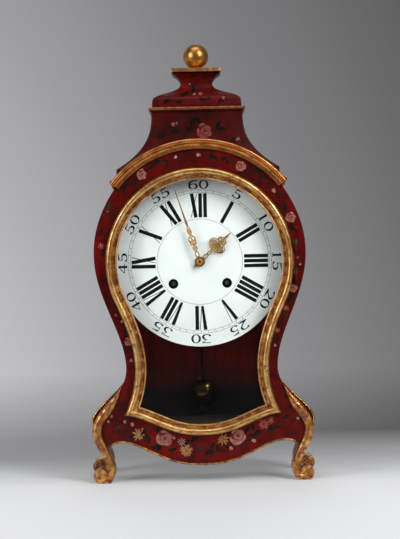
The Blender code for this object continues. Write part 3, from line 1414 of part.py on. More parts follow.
def dial():
    radii = steps_between(DIAL_HOLE, DIAL_RADIUS, 4)
    front = [(r, dial_back(r) - DIAL_THICK) for r in radii]
    back = [(r, dial_back(r)) for r in reversed(radii)]
    plate_ring = turned('dial', front + back, (0, 0, DIAL_Z), ENAMEL, 40, closed=True)
    feet = []
    for across, up in DIAL_FEET:
        seat = dial_back(math.hypot(across, up)) - DIAL_THICK / 2
        ends = [(seat, DIAL_FOOT_RADIUS), (PLATE_Y - GAP, DIAL_FOOT_RADIUS)]
        feet.append(rod('foot', across, DIAL_Z + up, ends, BRASS, 10))
    made = join([plate_ring] + feet)
    for at in (GOING, STRIKE):
        hole = flat('hole', [circle(*at, WIND_HOLE, 18)], DIAL_FRONT_Y - OVERLAP,
                    DIAL_RIM_Y + DIAL_THICK + OVERLAP, ENAMEL)
        made = boolean(made, hole, 'DIFFERENCE')
    return made


def turned_to(points, degrees):
    """Points drawn for a hand at twelve, turned clockwise about the centre of the dial."""
    angle = math.radians(degrees)
    cos = math.cos(angle)
    sin = math.sin(angle)
    return [(u * cos + v * sin, DIAL_Z - u * sin + v * cos) for u, v in points]


# Right half of each hand, as (across, along) in shares of its reach beyond the hub
HOUR_SHAPE = ((0.05, 0.21), (0.025, 0.30), (0.03, 0.40), (0.13, 0.44), (0.205, 0.53), (0.18, 0.62),
              (0.11, 0.68), (0.10, 0.76), (0.022, 0.83), (0.0, 1.0))
HOUR_PIERCED = ((0.0, 0.48), (0.10, 0.56), (0.0, 0.68), (-0.10, 0.56))
MINUTE_SHAPE = ((0.022, 0.115), (0.012, 0.15), (0.028, 0.19), (0.014, 0.235), (0.043, 0.30), (0.016, 0.365),
                (0.024, 0.41), (0.010, 0.46), (0.014, 0.53), (0.007, 0.75), (0.0, 1.0))
MINUTE_PIERCED = ((0.0, 0.265), (0.024, 0.30), (0.0, 0.335), (-0.024, 0.30))
HUB_OPEN_DEG = 72
HUB_TAIL_DEG = -76


def hand(name, reach, shape, pierced, hole, tail, degrees, y_back):
    half = [(0.0, -tail)]
    first = -90 if tail <= HAND_HUB else HUB_TAIL_DEG
    for angle in steps_between(first, HUB_OPEN_DEG, 6):
        spot = off((0, 0), HAND_HUB, angle)
        if spot[0] > 1e-6:
            half.append(spot)
    half += [(across * reach, along * reach) for across, along in shape]
    opening = [(across * reach, along * reach) for across, along in pierced]
    outlines = [turned_to(mirrored(half), degrees), turned_to(opening, degrees), circle(*CENTRE, hole, 14)]
    return on_axis(flat(name, outlines, y_back - HAND_THICK, y_back, GILT), CENTRE)


def hand_collet():
    front = CENTRE_FRONT_Y + 2 * GAP
    back = MINUTE_HAND_Y - HAND_THICK - 3 * GAP
    bore = CENTRE_ARBOR + GAP
    profile = [(COLLET_RADIUS, back), (COLLET_RADIUS, back - COLLET_RIM), (COLLET_NOSE, front),
               (bore, front), (bore, back)]
    return on_axis(turned('hand_collet', profile, (0, 0, DIAL_Z), BRASS, 16, closed=True), CENTRE)


front_plate()
back_plate()
seat_board()
cannon_pinion()
minute_wheel()
hour_wheel()
dial()
hand('hour_hand', HOUR_REACH, HOUR_SHAPE, HOUR_PIERCED, PIPE_OUTER + GAP, HOUR_TAIL, HOUR_DEG, HOUR_HAND_Y)
hand('minute_hand', MINUTE_REACH, MINUTE_SHAPE, MINUTE_PIERCED, CANNON_OUTER + GAP, HAND_HUB, MINUTE_DEG,
     MINUTE_HAND_Y)
hand_collet()
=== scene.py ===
"""Looks of a waisted bracket clock: red lacquer with painted flowers, gold leaf, enamel dial and brass.

Metres, +Z up. The dial faces -Y and +X is to the viewer's right.
"""
import math
import random

import bmesh
import bpy
from mathutils import Matrix, Vector


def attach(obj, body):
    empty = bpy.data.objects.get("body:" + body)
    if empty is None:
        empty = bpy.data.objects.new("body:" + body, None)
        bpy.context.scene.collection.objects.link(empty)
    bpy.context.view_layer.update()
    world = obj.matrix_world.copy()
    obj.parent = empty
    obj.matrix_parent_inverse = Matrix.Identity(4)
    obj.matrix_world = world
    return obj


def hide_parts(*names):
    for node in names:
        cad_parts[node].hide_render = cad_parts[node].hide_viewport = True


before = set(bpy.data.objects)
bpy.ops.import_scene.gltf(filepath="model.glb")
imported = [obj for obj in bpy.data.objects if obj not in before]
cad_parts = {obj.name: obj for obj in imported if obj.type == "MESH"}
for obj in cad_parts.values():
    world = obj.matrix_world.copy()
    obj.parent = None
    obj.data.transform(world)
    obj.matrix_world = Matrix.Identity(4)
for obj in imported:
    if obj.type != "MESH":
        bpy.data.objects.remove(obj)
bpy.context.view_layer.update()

# Camera
# The photograph was taken from a little above the middle of the dial, about two metres away,
# with the camera tilted slightly, so that the clock leans to the left in it.
PHOTO_DISTANCE = 2.2
PHOTO_EYE_Z = 0.3177
PHOTO_AIM_Z = 0.291
PHOTO_ROLL_DEG = -1.16
PHOTO_LENS_MM = 107.2
PHOTO_SENSOR_MM = 36.0
FRONT_Y = -0.061

camera_data = bpy.data.cameras.new("camera")
camera_data.sensor_width = PHOTO_SENSOR_MM
camera_data.lens = PHOTO_LENS_MM
camera_data.clip_end = 50.0
camera = bpy.data.objects.new("camera", camera_data)
bpy.context.scene.collection.objects.link(camera)
eye = Vector((0.0, FRONT_Y - PHOTO_DISTANCE, PHOTO_EYE_Z))
aim = Vector((0.0, FRONT_Y, PHOTO_AIM_Z))
turn = (aim - eye).to_track_quat("-Z", "Y").to_matrix().to_4x4()
roll = Matrix.Rotation(math.radians(PHOTO_ROLL_DEG), 4, "Z")
camera.matrix_world = Matrix.Translation(eye) @ turn @ roll
bpy.context.scene.camera = camera
bpy.context.scene.view_settings.view_transform = "Standard"


# Table and backdrop
# A pale table top that runs up into a grey paper backdrop, lighter on the left than on the right. Painted
# shade darkens the band where they meet and, to all but the camera, the table far in front. Painted light
# makes the table glow faintly to the camera, which lifts its shadows.
def node_of(material, kind, **sockets):
    """New shader node with its input values set by name."""
    node = material.node_tree.nodes.new(kind)
    for name, value in sockets.items():
        node.inputs[name.replace("_", " ")].default_value = value
    return node


def wire(material, source, output, target, socket):
    material.node_tree.links.new(source.outputs[output], target.inputs[socket])


def bare_material(name):
    """Material with an output node and nothing else."""
    made = bpy.data.materials.new(name)
    made.use_nodes = True
    made.node_tree.nodes.clear()
    made.node_tree.nodes.new("ShaderNodeOutputMaterial")
    return made


def output_of(material):
    return material.node_tree.nodes["Material Output"]


def colour_steps(material, steps):
    """Colour ramp from (place, colour) steps, the first and the last of them named first."""
    ramp = material.node_tree.nodes.new("ShaderNodeValToRGB")
    for place, colour in steps[2:]:
        ramp.color_ramp.elements.new(place)
    for element, (place, colour) in zip(ramp.color_ramp.elements, sorted(steps)):
        element.position = place
        element.color = (*colour, 1.0)
    return ramp


def band(material, source, output, low, high, to_low=0.0, to_high=1.0):
    """Part of a value's range stretched to another range."""
    made = node_of(material, "ShaderNodeMapRange", From_Min=low, From_Max=high, To_Min=to_low, To_Max=to_high)
    wire(material, source, output, made, "Value")
    return made


def reckoned(material, operation, first, second):
    """Maths node on two terms, each a number or a node with the name of its output."""
    made = material.node_tree.nodes.new("ShaderNodeMath")
    made.operation = operation
    for place, term in enumerate((first, second)):
        if isinstance(term, tuple):
            wire(material, *term, made, place)
        else:
            made.inputs[place].default_value = term
    return made


def either_shader(material, share, output, first, second):
    """Mix of two shaders by the share that a node gives."""
    mix = material.node_tree.nodes.new("ShaderNodeMixShader")
    wire(material, share, output, mix, "Fac")
    wire(material, first, 0, mix, 1)
    wire(material, second, 0, mix, 2)
    return mix


def mesh_piece(name, verts, faces):
    mesh = bpy.data.meshes.new(name)
    mesh.from_pydata(verts, [], faces)
    mesh.shade_smooth()
    piece = bpy.data.objects.new(name, mesh)
    bpy.context.scene.collection.objects.link(piece)
    return piece


TABLE_HALF = 3.0
TABLE_FRONT = -4.5
TABLE_BACK = 0.22
COVE_RADIUS = 0.06
BACKDROP_TOP = 1.1
PAINTED_BOUNCE_SHARE = 0.20

cove_line = []
for step in range(13):
    angle = math.radians(90 * step / 12)
    cove_line.append((TABLE_BACK + COVE_RADIUS * math.sin(angle), COVE_RADIUS * (1 - math.cos(angle))))
cove_line.append((TABLE_BACK + COVE_RADIUS, BACKDROP_TOP))
cove_verts = [(x, y, z) for y, z in cove_line for x in (-TABLE_HALF, TABLE_HALF)]
cove_faces = [(2 * i, 2 * i + 1, 2 * i + 3, 2 * i + 2) for i in range(len(cove_line) - 1)]
backdrop_sheet = mesh_piece("backdrop", cove_verts, cove_faces)
table_verts = [(x, y, 0.0) for y in (TABLE_FRONT, -TABLE_FRONT) for x in (-TABLE_HALF, TABLE_HALF)]
table = mesh_piece("table", table_verts, [(0, 1, 3, 2)])

paper = bare_material("table_paper")
spot = paper.node_tree.nodes.new("ShaderNodeNewGeometry")
axes = paper.node_tree.nodes.new("ShaderNodeSeparateXYZ")
wire(paper, spot, "Position", axes, "Vector")
seen = paper.node_tree.nodes.new("ShaderNodeLightPath")

# The table's colour falls to a dark band near its back edge, which is painted shade, and rises again behind
# it.
floor_tones_with_shade_band = colour_steps(paper, [(0.0, (0.90, 0.91, 0.93)), (1.0, (0.66, 0.67, 0.69)),
                              (0.22, (0.85, 0.86, 0.88)), (0.475, (0.44, 0.445, 0.46))])
wire(paper, band(paper, axes, "Y", -0.35, 0.85), "Result", floor_tones_with_shade_band, "Fac")
# To every ray but the camera's, the table far in front is darker: painted shade in its reflections and in the
# light it bounces.
off_camera_darkening = band(paper, axes, "Y", -1.0, -0.58, 0.12, 1.0)
camera_or_darkening = reckoned(paper, "MAXIMUM", (seen, "Is Camera Ray"), (off_camera_darkening, "Result"))
whites_darkened_off_camera = paper.node_tree.nodes.new("ShaderNodeVectorMath")
whites_darkened_off_camera.operation = "SCALE"
wire(paper, floor_tones_with_shade_band, "Color", whites_darkened_off_camera, 0)
wire(paper, camera_or_darkening, "Value", whites_darkened_off_camera, "Scale")
table_paint = node_of(paper, "ShaderNodeBsdfDiffuse")
wire(paper, whites_darkened_off_camera, "Vector", table_paint, "Color")
# The table glows faintly to the camera, painted light that lifts its shadows.
painted_bounce = node_of(paper, "ShaderNodeEmission")
wire(paper, floor_tones_with_shade_band, "Color", painted_bounce, "Color")
painted_bounce_share = reckoned(paper, "MULTIPLY", (seen, "Is Camera Ray"), PAINTED_BOUNCE_SHARE)
table_light = either_shader(paper, painted_bounce_share, "Value", table_paint, painted_bounce)

greys = colour_steps(paper, [(0.0, (0.42, 0.415, 0.44)), (1.0, (0.125, 0.125, 0.125)),
                             (0.45, (0.26, 0.258, 0.27))])
wire(paper, band(paper, axes, "X", -0.36, 0.36), "Result", greys, "Fac")
# The backdrop's glow is dimmer at its foot, painted shade where it meets the table, and brightest a little
# above it, a painted pool of light.
rise = colour_steps(paper, [(0.03, (0.72, 0.72, 0.72)), (1.0, (0.82, 0.82, 0.82)),
                            (0.17, (1.34, 1.34, 1.34))])
wire(paper, band(paper, axes, "Z", 0.0, 0.75), "Result", rise, "Fac")
glow = node_of(paper, "ShaderNodeEmission")
wire(paper, greys, "Color", glow, "Color")
wire(paper, rise, "Color", glow, "Strength")
clear = paper.node_tree.nodes.new("ShaderNodeBsdfTransparent")
looked_at = reckoned(paper, "MAXIMUM", (seen, "Is Camera Ray"), (seen, "Is Glossy Ray"))
shown = reckoned(paper, "MAXIMUM", (looked_at, "Value"), (seen, "Is Transmission Ray"))
backdrop = either_shader(paper, shown, "Value", clear, glow)

upright = band(paper, axes, "Z", 0.0, COVE_RADIUS / 2)
sheet = either_shader(paper, upright, "Result", table_light, backdrop)
one_sided = either_shader(paper, spot, "Backfacing", sheet, clear)
wire(paper, one_sided, "Shader", output_of(paper), "Surface")
table.data.materials.append(paper)
backdrop_sheet.data.materials.append(paper)


# Lamps
# Two tall softboxes in front, one to each side, a broad soft one overhead, another high behind the clock
# and grey studio walls.
def softbox(name, spot, target_z, wide, high, power):
    lamp = bpy.data.lights.new(name, "AREA")
    lamp.shape = "RECTANGLE"
    lamp.size = wide
    lamp.size_y = high
    lamp.energy = power
    holder = bpy.data.objects.new(name, lamp)
    holder.location = spot
    aim_at = Vector((0, 0, target_z)) - Vector(spot)
    holder.rotation_euler = aim_at.to_track_quat("-Z", "Y").to_euler()
    bpy.context.scene.collection.objects.link(holder)


softbox("softbox_left", (-1.5, -1.3, 0.90), 0.28, 0.6, 1.2, 15.5)
softbox("softbox_right", (1.2, -1.4, 1.45), 0.28, 0.6, 1.2, 25.5)
softbox("softbox_above", (0.0, -0.5, 2.2), 0.3, 1.4, 1.0, 10)
softbox("softbox_behind", (0.0, 2.4, 1.9), 0.3, 1.6, 1.0, 26)
world = bpy.data.worlds.new("studio")
world.use_nodes = True
walls = world.node_tree.nodes["Background"]
walls.inputs["Color"].default_value = (0.07, 0.07, 0.072, 1.0)
far_wall = node_of(world, "ShaderNodeBackground", Color=(0.30, 0.30, 0.31, 1.0))
eye_ray = world.node_tree.nodes.new("ShaderNodeLightPath")
both_walls = either_shader(world, eye_ray, "Is Camera Ray", walls, far_wall)
wire(world, both_walls, "Shader", world.node_tree.nodes["World Output"], "Surface")
bpy.context.scene.world = world


# Front board
# One board sawn to the waisted outline with the door opening cut through it, grounded and finished
# in dark red lacquer, which has darkened unevenly and crazed with age.
DIAL_Z = 0.3016
JOINT_GAP = 0.0003
BOARD_THICK = 0.012
BOARD_EASE = 0.0009
BULGE_HALF = 0.1454
BULGE_Z = 0.315
WAIST_HALF = 0.1040
WAIST_Z = 0.157
WAIST_EASE = 1.1
FLARE_EASE = 1.15
FLARE_HALF = 0.152
FLARE_Z = 0.072
SKIRT_HALF = 0.145
SKIRT_Z = 0.050
REAR_SPREAD = 0.008
REAR_EASE = 3
SHOULDER_Z = 0.40399
SIDE_TOP_Z = 0.40461
ARCH_Z = 0.316
ARCH_RADIUS = 0.152
ARCH_HALF = 0.115
APRON_LOW_Z = 0.0225
APRON_HIGH_Z = 0.0548
APRON_POWER = 1.35
APRON_HIGH_HALF = 0.1125
APRON_END_HALF = 0.126
APRON_END_Z = 0.0515
LEG_TIP_Z = 0.131
LEG_FULL_Z = 0.104
LEG_WIDTH = 0.0125
DOOR_RADIUS = 0.129
DOOR_LEAVE_DEG = -25
DOOR_WAIST_HALF = 0.0915
DOOR_WAIST_Z = 0.158
DOOR_TIP_HALF = 0.1078
DOOR_TIP_Z = 0.0927
DOOR_SAG_Z = 0.064
DOOR_SAG_POWER = 1.25
WINDOW_INSET = 0.008


def spread(low, high, count):
    return [low + (high - low) * i / count for i in range(count + 1)]


def ease(t):
    t = min(max(t, 0.0), 1.0)
    return t * t * (3 - 2 * t)


def case_half(z, depth=0.0):
    """Half width of the case at a height; depth runs from 0 at the front to 1 at the back."""
    if z >= BULGE_Z:
        share = (z - BULGE_Z) / (SHOULDER_Z - BULGE_Z)
        half = BULGE_HALF - (BULGE_HALF - ARCH_HALF) * share ** 2
    elif z >= WAIST_Z:
        share = ((BULGE_Z - z) / (BULGE_Z - WAIST_Z)) ** WAIST_EASE
        half = BULGE_HALF - (BULGE_HALF - WAIST_HALF) * ease(share)
    elif z >= FLARE_Z:
        share = ((WAIST_Z - z) / (WAIST_Z - FLARE_Z)) ** FLARE_EASE
        half = WAIST_HALF + (FLARE_HALF - WAIST_HALF) * ease(share)
    else:
        share = (FLARE_Z - z) / (FLARE_Z - SKIRT_Z)
        half = FLARE_HALF - (FLARE_HALF - SKIRT_HALF) * share ** 2
    return half + REAR_SPREAD * depth * ease((WAIST_Z - z) / (WAIST_Z - FLARE_Z)) ** REAR_EASE


def apron_z(x):
    if x <= APRON_HIGH_HALF:
        share = (x / APRON_HIGH_HALF) ** APRON_POWER
        return APRON_LOW_Z + (APRON_HIGH_Z - APRON_LOW_Z) * ease(share)
    share = (x - APRON_HIGH_HALF) / (APRON_END_HALF - APRON_HIGH_HALF)
    return APRON_HIGH_Z - (APRON_HIGH_Z - APRON_END_Z) * share ** 2


def leg_width(z):
    return LEG_WIDTH * min(1.0, max(0.0, (LEG_TIP_Z - z) / (LEG_TIP_Z - LEG_FULL_Z)))


def up_and_over(start_z, depth):
    """Right edge of a board from a height up to the arch and over it to the top middle."""
    line = [(case_half(z, depth), z) for z in spread(start_z, SIDE_TOP_Z, 90)]
    for a in spread(math.acos(ARCH_HALF / ARCH_RADIUS), math.pi / 2, 40)[:-1]:
        line.append((ARCH_RADIUS * math.cos(a), ARCH_Z + ARCH_RADIUS * math.sin(a)))
    line.append((0.0, ARCH_Z + ARCH_RADIUS))
    return line


def both_sides(half):
    """Whole outline from its right half, which runs from the bottom middle to the top middle."""
    left = [(-x, z) for x, z in reversed(half) if x > 1e-6]
    return half + left


def door_rails():
    """Right half of the door's bottom rail and of its side, each as a line of (x, z)."""
    leave = math.radians(DOOR_LEAVE_DEG)
    leave_x = DOOR_RADIUS * math.cos(leave)
    leave_z = DOOR_RADIUS * math.sin(leave) + DIAL_Z
    rise = leave_z - DOOR_WAIST_Z
    bottom = []
    for x in spread(0, DOOR_TIP_HALF, 30):
        sag = ease((x / DOOR_TIP_HALF) ** DOOR_SAG_POWER)
        bottom.append((x, DOOR_SAG_Z + (DOOR_TIP_Z - DOOR_SAG_Z) * sag))
    side = []
    for z in spread(DOOR_TIP_Z, DOOR_WAIST_Z, 16):
        share = (DOOR_WAIST_Z - z) / (DOOR_WAIST_Z - DOOR_TIP_Z)
        side.append((DOOR_WAIST_HALF + (DOOR_TIP_HALF - DOOR_WAIST_HALF) * share ** 2, z))
    for z in spread(DOOR_WAIST_Z, leave_z, 24)[1:-1]:
        t = (z - DOOR_WAIST_Z) / rise
        pull = (t ** 3 - t ** 2) * rise * math.tan(-leave)
        side.append((DOOR_WAIST_HALF + (leave_x - DOOR_WAIST_HALF) * ease(t) + pull, z))
    for a in spread(leave, math.pi / 2, 56):
        side.append((DOOR_RADIUS * math.cos(a), DIAL_Z + DOOR_RADIUS * math.sin(a)))
    return bottom, side


def across_line(line, i):
    """Unit vector to the left of a line's course at one of its points."""
    before = Vector(line[max(i - 1, 0)][:2])
    after = Vector(line[min(i + 1, len(line) - 1)][:2])
    way = (after - before).normalized()
    return Vector((-way.y, way.x))


def moved_in(line, inset):
    """Open line moved to its left by inset, which is inwards on the door's right half."""
    return [Vector(here) + across_line(line, i) * inset for i, here in enumerate(line)]


def crossing(first, second):
    """Where two lines cross: the index of the part of each, and the point."""
    for i in range(len(first) - 1, 0, -1):
        a = first[i - 1]
        b = first[i] - a
        for k in range(len(second) - 1):
            c = second[k]
            d = second[k + 1] - c
            turn = b.x * d.y - b.y * d.x
            if abs(turn) < 1e-14:
                continue
            t = ((c.x - a.x) * d.y - (c.y - a.y) * d.x) / turn
            u = ((c.x - a.x) * b.y - (c.y - a.y) * b.x) / turn
            if -1e-9 <= t <= 1 + 1e-9 and -1e-9 <= u <= 1 + 1e-9:
                return i, k, a + b * t
    return len(first) - 1, 0, first[-1]


def respaced(line, count):
    """The same line with evenly spaced points."""
    lengths = [0.0]
    for a, b in zip(line, line[1:]):
        lengths.append(lengths[-1] + (b - a).length)
    points = []
    k = 0
    for goal in spread(0.0, lengths[-1], count):
        while k < len(line) - 2 and lengths[k + 1] < goal:
            k += 1
        span = lengths[k + 1] - lengths[k]
        share = (goal - lengths[k]) / span if span > 0 else 0.0
        points.append(line[k].lerp(line[k + 1], share))
    return points


def door_ring(inset):
    """Door outline moved in by inset, with true mitres at the two lower corners."""
    bottom, side = [moved_in(line, inset) for line in door_rails()]
    i, k, corner = crossing(bottom, side)
    bottom = respaced(bottom[:i] + [corner], 24)
    side = respaced([corner] + side[k + 1:], 84)
    bottom[0].x = 0.0
    side[-1].x = 0.0
    return both_sides([tuple(p) for p in bottom + side[1:]])


def shaded(piece, crease_deg):
    """Smooth shading with sharp edges where faces meet at more than an angle."""
    piece.data.shade_smooth()
    piece.data.set_sharp_from_angle(angle=math.radians(crease_deg))
    return piece


def settled(drawn, name):
    """Mesh piece from a drawn curve or from an object with modifiers, which is removed."""
    if not drawn.users_collection:
        bpy.context.scene.collection.objects.link(drawn)
    bpy.context.view_layer.update()
    made = bpy.data.meshes.new_from_object(drawn.evaluated_get(bpy.context.evaluated_depsgraph_get()))
    made.transform(drawn.matrix_world)
    bpy.data.objects.remove(drawn, do_unlink=True)
    made.name = name
    made.materials.clear()
    piece = bpy.data.objects.new(name, made)
    bpy.context.scene.collection.objects.link(piece)
    return shaded(piece, 35)


def sawn(name, outlines, y_front, y_back, eased=0.0):
    """Flat board or sheet from closed (x, z) outlines, with its edges eased."""
    curve = bpy.data.curves.new(name, "CURVE")
    curve.dimensions = "2D"
    curve.fill_mode = "BOTH"
    curve.extrude = (y_back - y_front) / 2 - eased
    curve.bevel_depth = eased
    curve.bevel_resolution = 2
    curve.offset = -eased
    for outline in outlines:
        spline = curve.splines.new("POLY")
        spline.points.add(len(outline) - 1)
        for point, (x, z) in zip(spline.points, outline):
            point.co = (x, z, 0, 1)
        spline.use_cyclic_u = True
    drawn = bpy.data.objects.new(name + "_drawing", curve)
    drawn.location.y = (y_front + y_back) / 2
    drawn.rotation_euler.x = math.pi / 2
    return settled(drawn, name)


half = [(x, apron_z(x)) for x in spread(0, APRON_END_HALF, 56)]
for z in spread(SKIRT_Z + 0.003, LEG_TIP_Z, 30):
    half.append((case_half(z) - leg_width(z) - JOINT_GAP, z))
half += up_and_over(LEG_TIP_Z + 0.001, 0)
board_lines = [both_sides(half), door_ring(WINDOW_INSET)]
front_board = sawn("front_board", board_lines, FRONT_Y, FRONT_Y + BOARD_THICK, BOARD_EASE)


def speckle(material, scale, detail=4.0, stretch=(1, 1, 1)):
    """Noise in the piece's own metres, stretched along an axis for grain."""
    where = material.node_tree.nodes.new("ShaderNodeTexCoord")
    fitted = node_of(material, "ShaderNodeMapping", Scale=stretch)
    wire(material, where, "Object", fitted, "Vector")
    noise = node_of(material, "ShaderNodeTexNoise", Scale=scale, Detail=detail, Roughness=0.55)
    wire(material, fitted, "Vector", noise, "Vector")
    return noise


def mixed(material, share, first, second):
    """Colour mix of a socket and a colour, by the share that a band of values gives."""
    mix = material.node_tree.nodes.new("ShaderNodeMix")
    mix.data_type = "RGBA"
    wire(material, share, "Result", mix, "Factor")
    material.node_tree.links.new(first, mix.inputs[6])
    mix.inputs[7].default_value = (*second, 1.0)
    return mix.outputs[2]


def coat_of(material):
    return material.node_tree.nodes["Principled BSDF"]


def dented(material, source, output, strength, distance):
    bump = node_of(material, "ShaderNodeBump", Strength=strength, Distance=distance)
    wire(material, source, output, bump, "Height")
    wire(material, bump, "Normal", coat_of(material), "Normal")


def aged_finish(name, cloud, steps, stains=(), rough=None, bump=None, **sockets):
    """Coat with tones that follow noise; each noise is a (scale, detail, stretch).

    A stain is its noise, low, high, its share and its colour. Rough is a noise, low, high and the
    roughness at each. Bump is a noise, strength and distance.
    """
    made = bare_material(name)
    coat = node_of(made, "ShaderNodeBsdfPrincipled", **sockets)
    tones = colour_steps(made, steps)
    wire(made, speckle(made, *cloud), "Fac", tones, "Fac")
    colour = tones.outputs["Color"]
    for noise, low, high, most, stain in stains:
        colour = mixed(made, band(made, speckle(made, *noise), "Fac", low, high, 0.0, most), colour, stain)
    made.node_tree.links.new(colour, coat.inputs["Base Color"])
    matt = band(made, speckle(made, *rough[0]), "Fac", *rough[1:])
    wire(made, matt, "Result", coat, "Roughness")
    if bump:
        dented(made, speckle(made, *bump[0]), "Fac", *bump[1:])
    wire(made, coat, "BSDF", output_of(made), "Surface")
    return made


LACQUER_GRIME = (0.016, 0.006, 0.005)


def lacquer_finish(name, deep, middle, bright, gloss, matt_low, matt_high):
    """Lacquer in clouded reds under a worn polish, with a net of fine cracks."""
    made = aged_finish(name, (26.0, 5.0), [(0.30, deep), (0.72, bright), (0.5, middle)],
                       [((80.0, 6.0), 0.47, 0.68, 0.75, LACQUER_GRIME)],
                       ((60.0, 4.0), 0.35, 0.7, matt_low, matt_high), Specular_IOR_Level=gloss)
    cracks = node_of(made, "ShaderNodeTexVoronoi", Scale=210.0)
    cracks.feature = "DISTANCE_TO_EDGE"
    where = made.node_tree.nodes.new("ShaderNodeTexCoord")
    wire(made, where, "Object", cracks, "Vector")
    dented(made, band(made, cracks, "Distance", 0.0, 0.035, 0.6, 1.0), "Result", 0.12, 0.0002)
    return made


red_lacquer = lacquer_finish("red_lacquer", (0.056, 0.0038, 0.003), (0.112, 0.0042, 0.003),
                             (0.196, 0.0045, 0.0025), 0.12, 0.30, 0.46)


def finish(piece, material, body, slot, *nodes):
    """Give a piece its material and the body that it rides on, and hide the nodes that it stands for; slot is
    not used.
    """
    piece.data.materials.append(material)
    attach(piece, body)
    if nodes:
        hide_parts(*nodes)


finish(front_board, red_lacquer, "case", "red_lacquer", "case_front")

# Side boards
# Two boards bent to the same waisted line and spreading towards the back, lacquered on the outside in a
# darker copy of the front's lacquer, which is painted shade.
SIDES = (("left", -1), ("right", 1))
SIDE_THICK = 0.009
SIDE_FRONT_Y = FRONT_Y + BOARD_THICK + JOINT_GAP
SIDE_BACK_Y = 0.0657
# The front's lacquer made darker for the sides, as painted shade.
shaded_side_lacquer = lacquer_finish("red_lacquer_sides_shaded", (0.040, 0.0036, 0.003), (0.074, 0.0042, 0.003),
                              (0.122, 0.0045, 0.0025), 0.0, 0.52, 0.68)


def skin(name, rings, closed=False, crease_deg=35):
    """Skin over rings that all have the same number of corners, with its ends capped if it is open."""
    corners = len(rings[0])
    verts = [point for ring in rings for point in ring]
    faces = []
    last = len(rings) if closed else len(rings) - 1
    for i in range(last):
        here = i * corners
        there = ((i + 1) % len(rings)) * corners
        for k in range(corners):
            n = (k + 1) % corners
            faces.append((here + k, here + n, there + n, there + k))
    if not closed:
        faces.append(tuple(range(corners)))
        faces.append(tuple(range(len(verts) - corners, len(verts))))
    piece = mesh_piece(name, verts, faces)
    work = bmesh.new()
    work.from_mesh(piece.data)
    bmesh.ops.recalc_face_normals(work, faces=work.faces)
    work.to_mesh(piece.data)
    work.free()
    return shaded(piece, crease_deg)


for word, side in SIDES:
    rings = []
    for z in spread(SKIRT_Z, SIDE_TOP_Z, 90):
        front = case_half(z)
        back = case_half(z, 1)
        ring = []
        for t in spread(0, 1, 4):
            ring.append((front + (back - front) * t, SIDE_FRONT_Y + (SIDE_BACK_Y - SIDE_FRONT_Y) * t))
        ring += [(back - SIDE_THICK, SIDE_BACK_Y), (front - SIDE_THICK, SIDE_FRONT_Y)]
        rings.append([(side * x, y, z) for x, y in ring])
    side_board = skin("side_board_" + word, rings)
    finish(side_board, shaded_side_lacquer, "case", "red_lacquer", "case_side_" + word)

# Back, roof, floor and seat boards
# Softwood boards, rough planed and stained dark red-brown, with the grain upright on the back. The inside
# of the back board is lighter and redder, which is painted light, and goes black near the floor, which is
# painted shade.
CASE_BACK_Y = 0.075
BACK_THICK = 0.009
GRAIN_UP = (1.0, 1.0, 0.06)
GRAIN_ACROSS = (0.06, 1.0, 1.0)
SHADE_NEAR_FLOOR = (0.012, 0.006, 0.005)
SHADE_FULL_Z = 0.112
SHADE_END_Z = 0.158


def stained_finish(name, stretch, light, dark):
    """Stained softwood with grain lines along one axis."""
    grain = (90.0, 6.0, stretch)
    return aged_finish(name, grain, [(0.32, dark), (0.70, light)], [((14.0, 3.0), 0.4, 0.7, 0.5, dark)],
                       (grain, 0.3, 0.7, 0.42, 0.68), (grain, 0.12, 0.0003), Specular_IOR_Level=0.15)


upright_wood = stained_finish("stained_wood_upright", GRAIN_UP, (0.150, 0.018, 0.012), (0.070, 0.008, 0.006))
across_wood = stained_finish("stained_wood_across", GRAIN_ACROSS, (0.030, 0.010, 0.007),
                             (0.010, 0.004, 0.003))
roof_wood = stained_finish("stained_wood_roof", GRAIN_ACROSS, (0.100, 0.009, 0.006), (0.045, 0.005, 0.004))
# Lighter, redder copy of the stain for the inside of the back board, which is painted light, going black
# towards the floor, which is painted shade.
lit_and_shaded_inner_wood = stained_finish("stained_wood_inner_lit_and_shaded", GRAIN_UP, (0.36, 0.026, 0.018), (0.17, 0.012, 0.009))
where = lit_and_shaded_inner_wood.node_tree.nodes.new("ShaderNodeTexCoord")
place = lit_and_shaded_inner_wood.node_tree.nodes.new("ShaderNodeSeparateXYZ")
wire(lit_and_shaded_inner_wood, where, "Object", place, "Vector")
shade_share = band(lit_and_shaded_inner_wood, place, "Z", SHADE_FULL_Z, SHADE_END_Z, 1.0, 0.0)
wood_colour = coat_of(lit_and_shaded_inner_wood).inputs["Base Color"]
shaded_wood = mixed(lit_and_shaded_inner_wood, shade_share, wood_colour.links[0].from_socket, SHADE_NEAR_FLOOR)
lit_and_shaded_inner_wood.node_tree.links.new(shaded_wood, wood_colour)

back_line = both_sides([(0.0, SKIRT_Z)] + up_and_over(SKIRT_Z, 1))
back_board = sawn("back_board", [back_line], CASE_BACK_Y - BACK_THICK, CASE_BACK_Y, BOARD_EASE)
finish(back_board, upright_wood, "case", "stained_wood", "case_back")
back_board.data.materials.append(lit_and_shaded_inner_wood)
for face in back_board.data.polygons:
    face.material_index = 1 if face.normal.y < -0.9 else 0


def recoated(name, material):
    """Give one of the part's own solids its material."""
    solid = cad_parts[name]
    solid.data.materials.clear()
    solid.data.materials.append(material)
    return solid


recoated("case_roof", roof_wood)
recoated("case_floor", across_wood)
recoated("seat_board", across_wood)

# Hood
# A block of wood that curves in from the arched roof to the cap, hollowed under to sit on the arch
# and lacquered a little darker than the case.
HOOD_BASE_HALF = 0.1125
HOOD_TOP_HALF = 0.0634
HOOD_EDGE_Z = 0.43080
HOOD_TOP_Z = 0.5095
HOOD_DEPTH_SHARE = 0.45
HOOD_SWEEP = 2.6
HOOD_CORNER = 0.0022


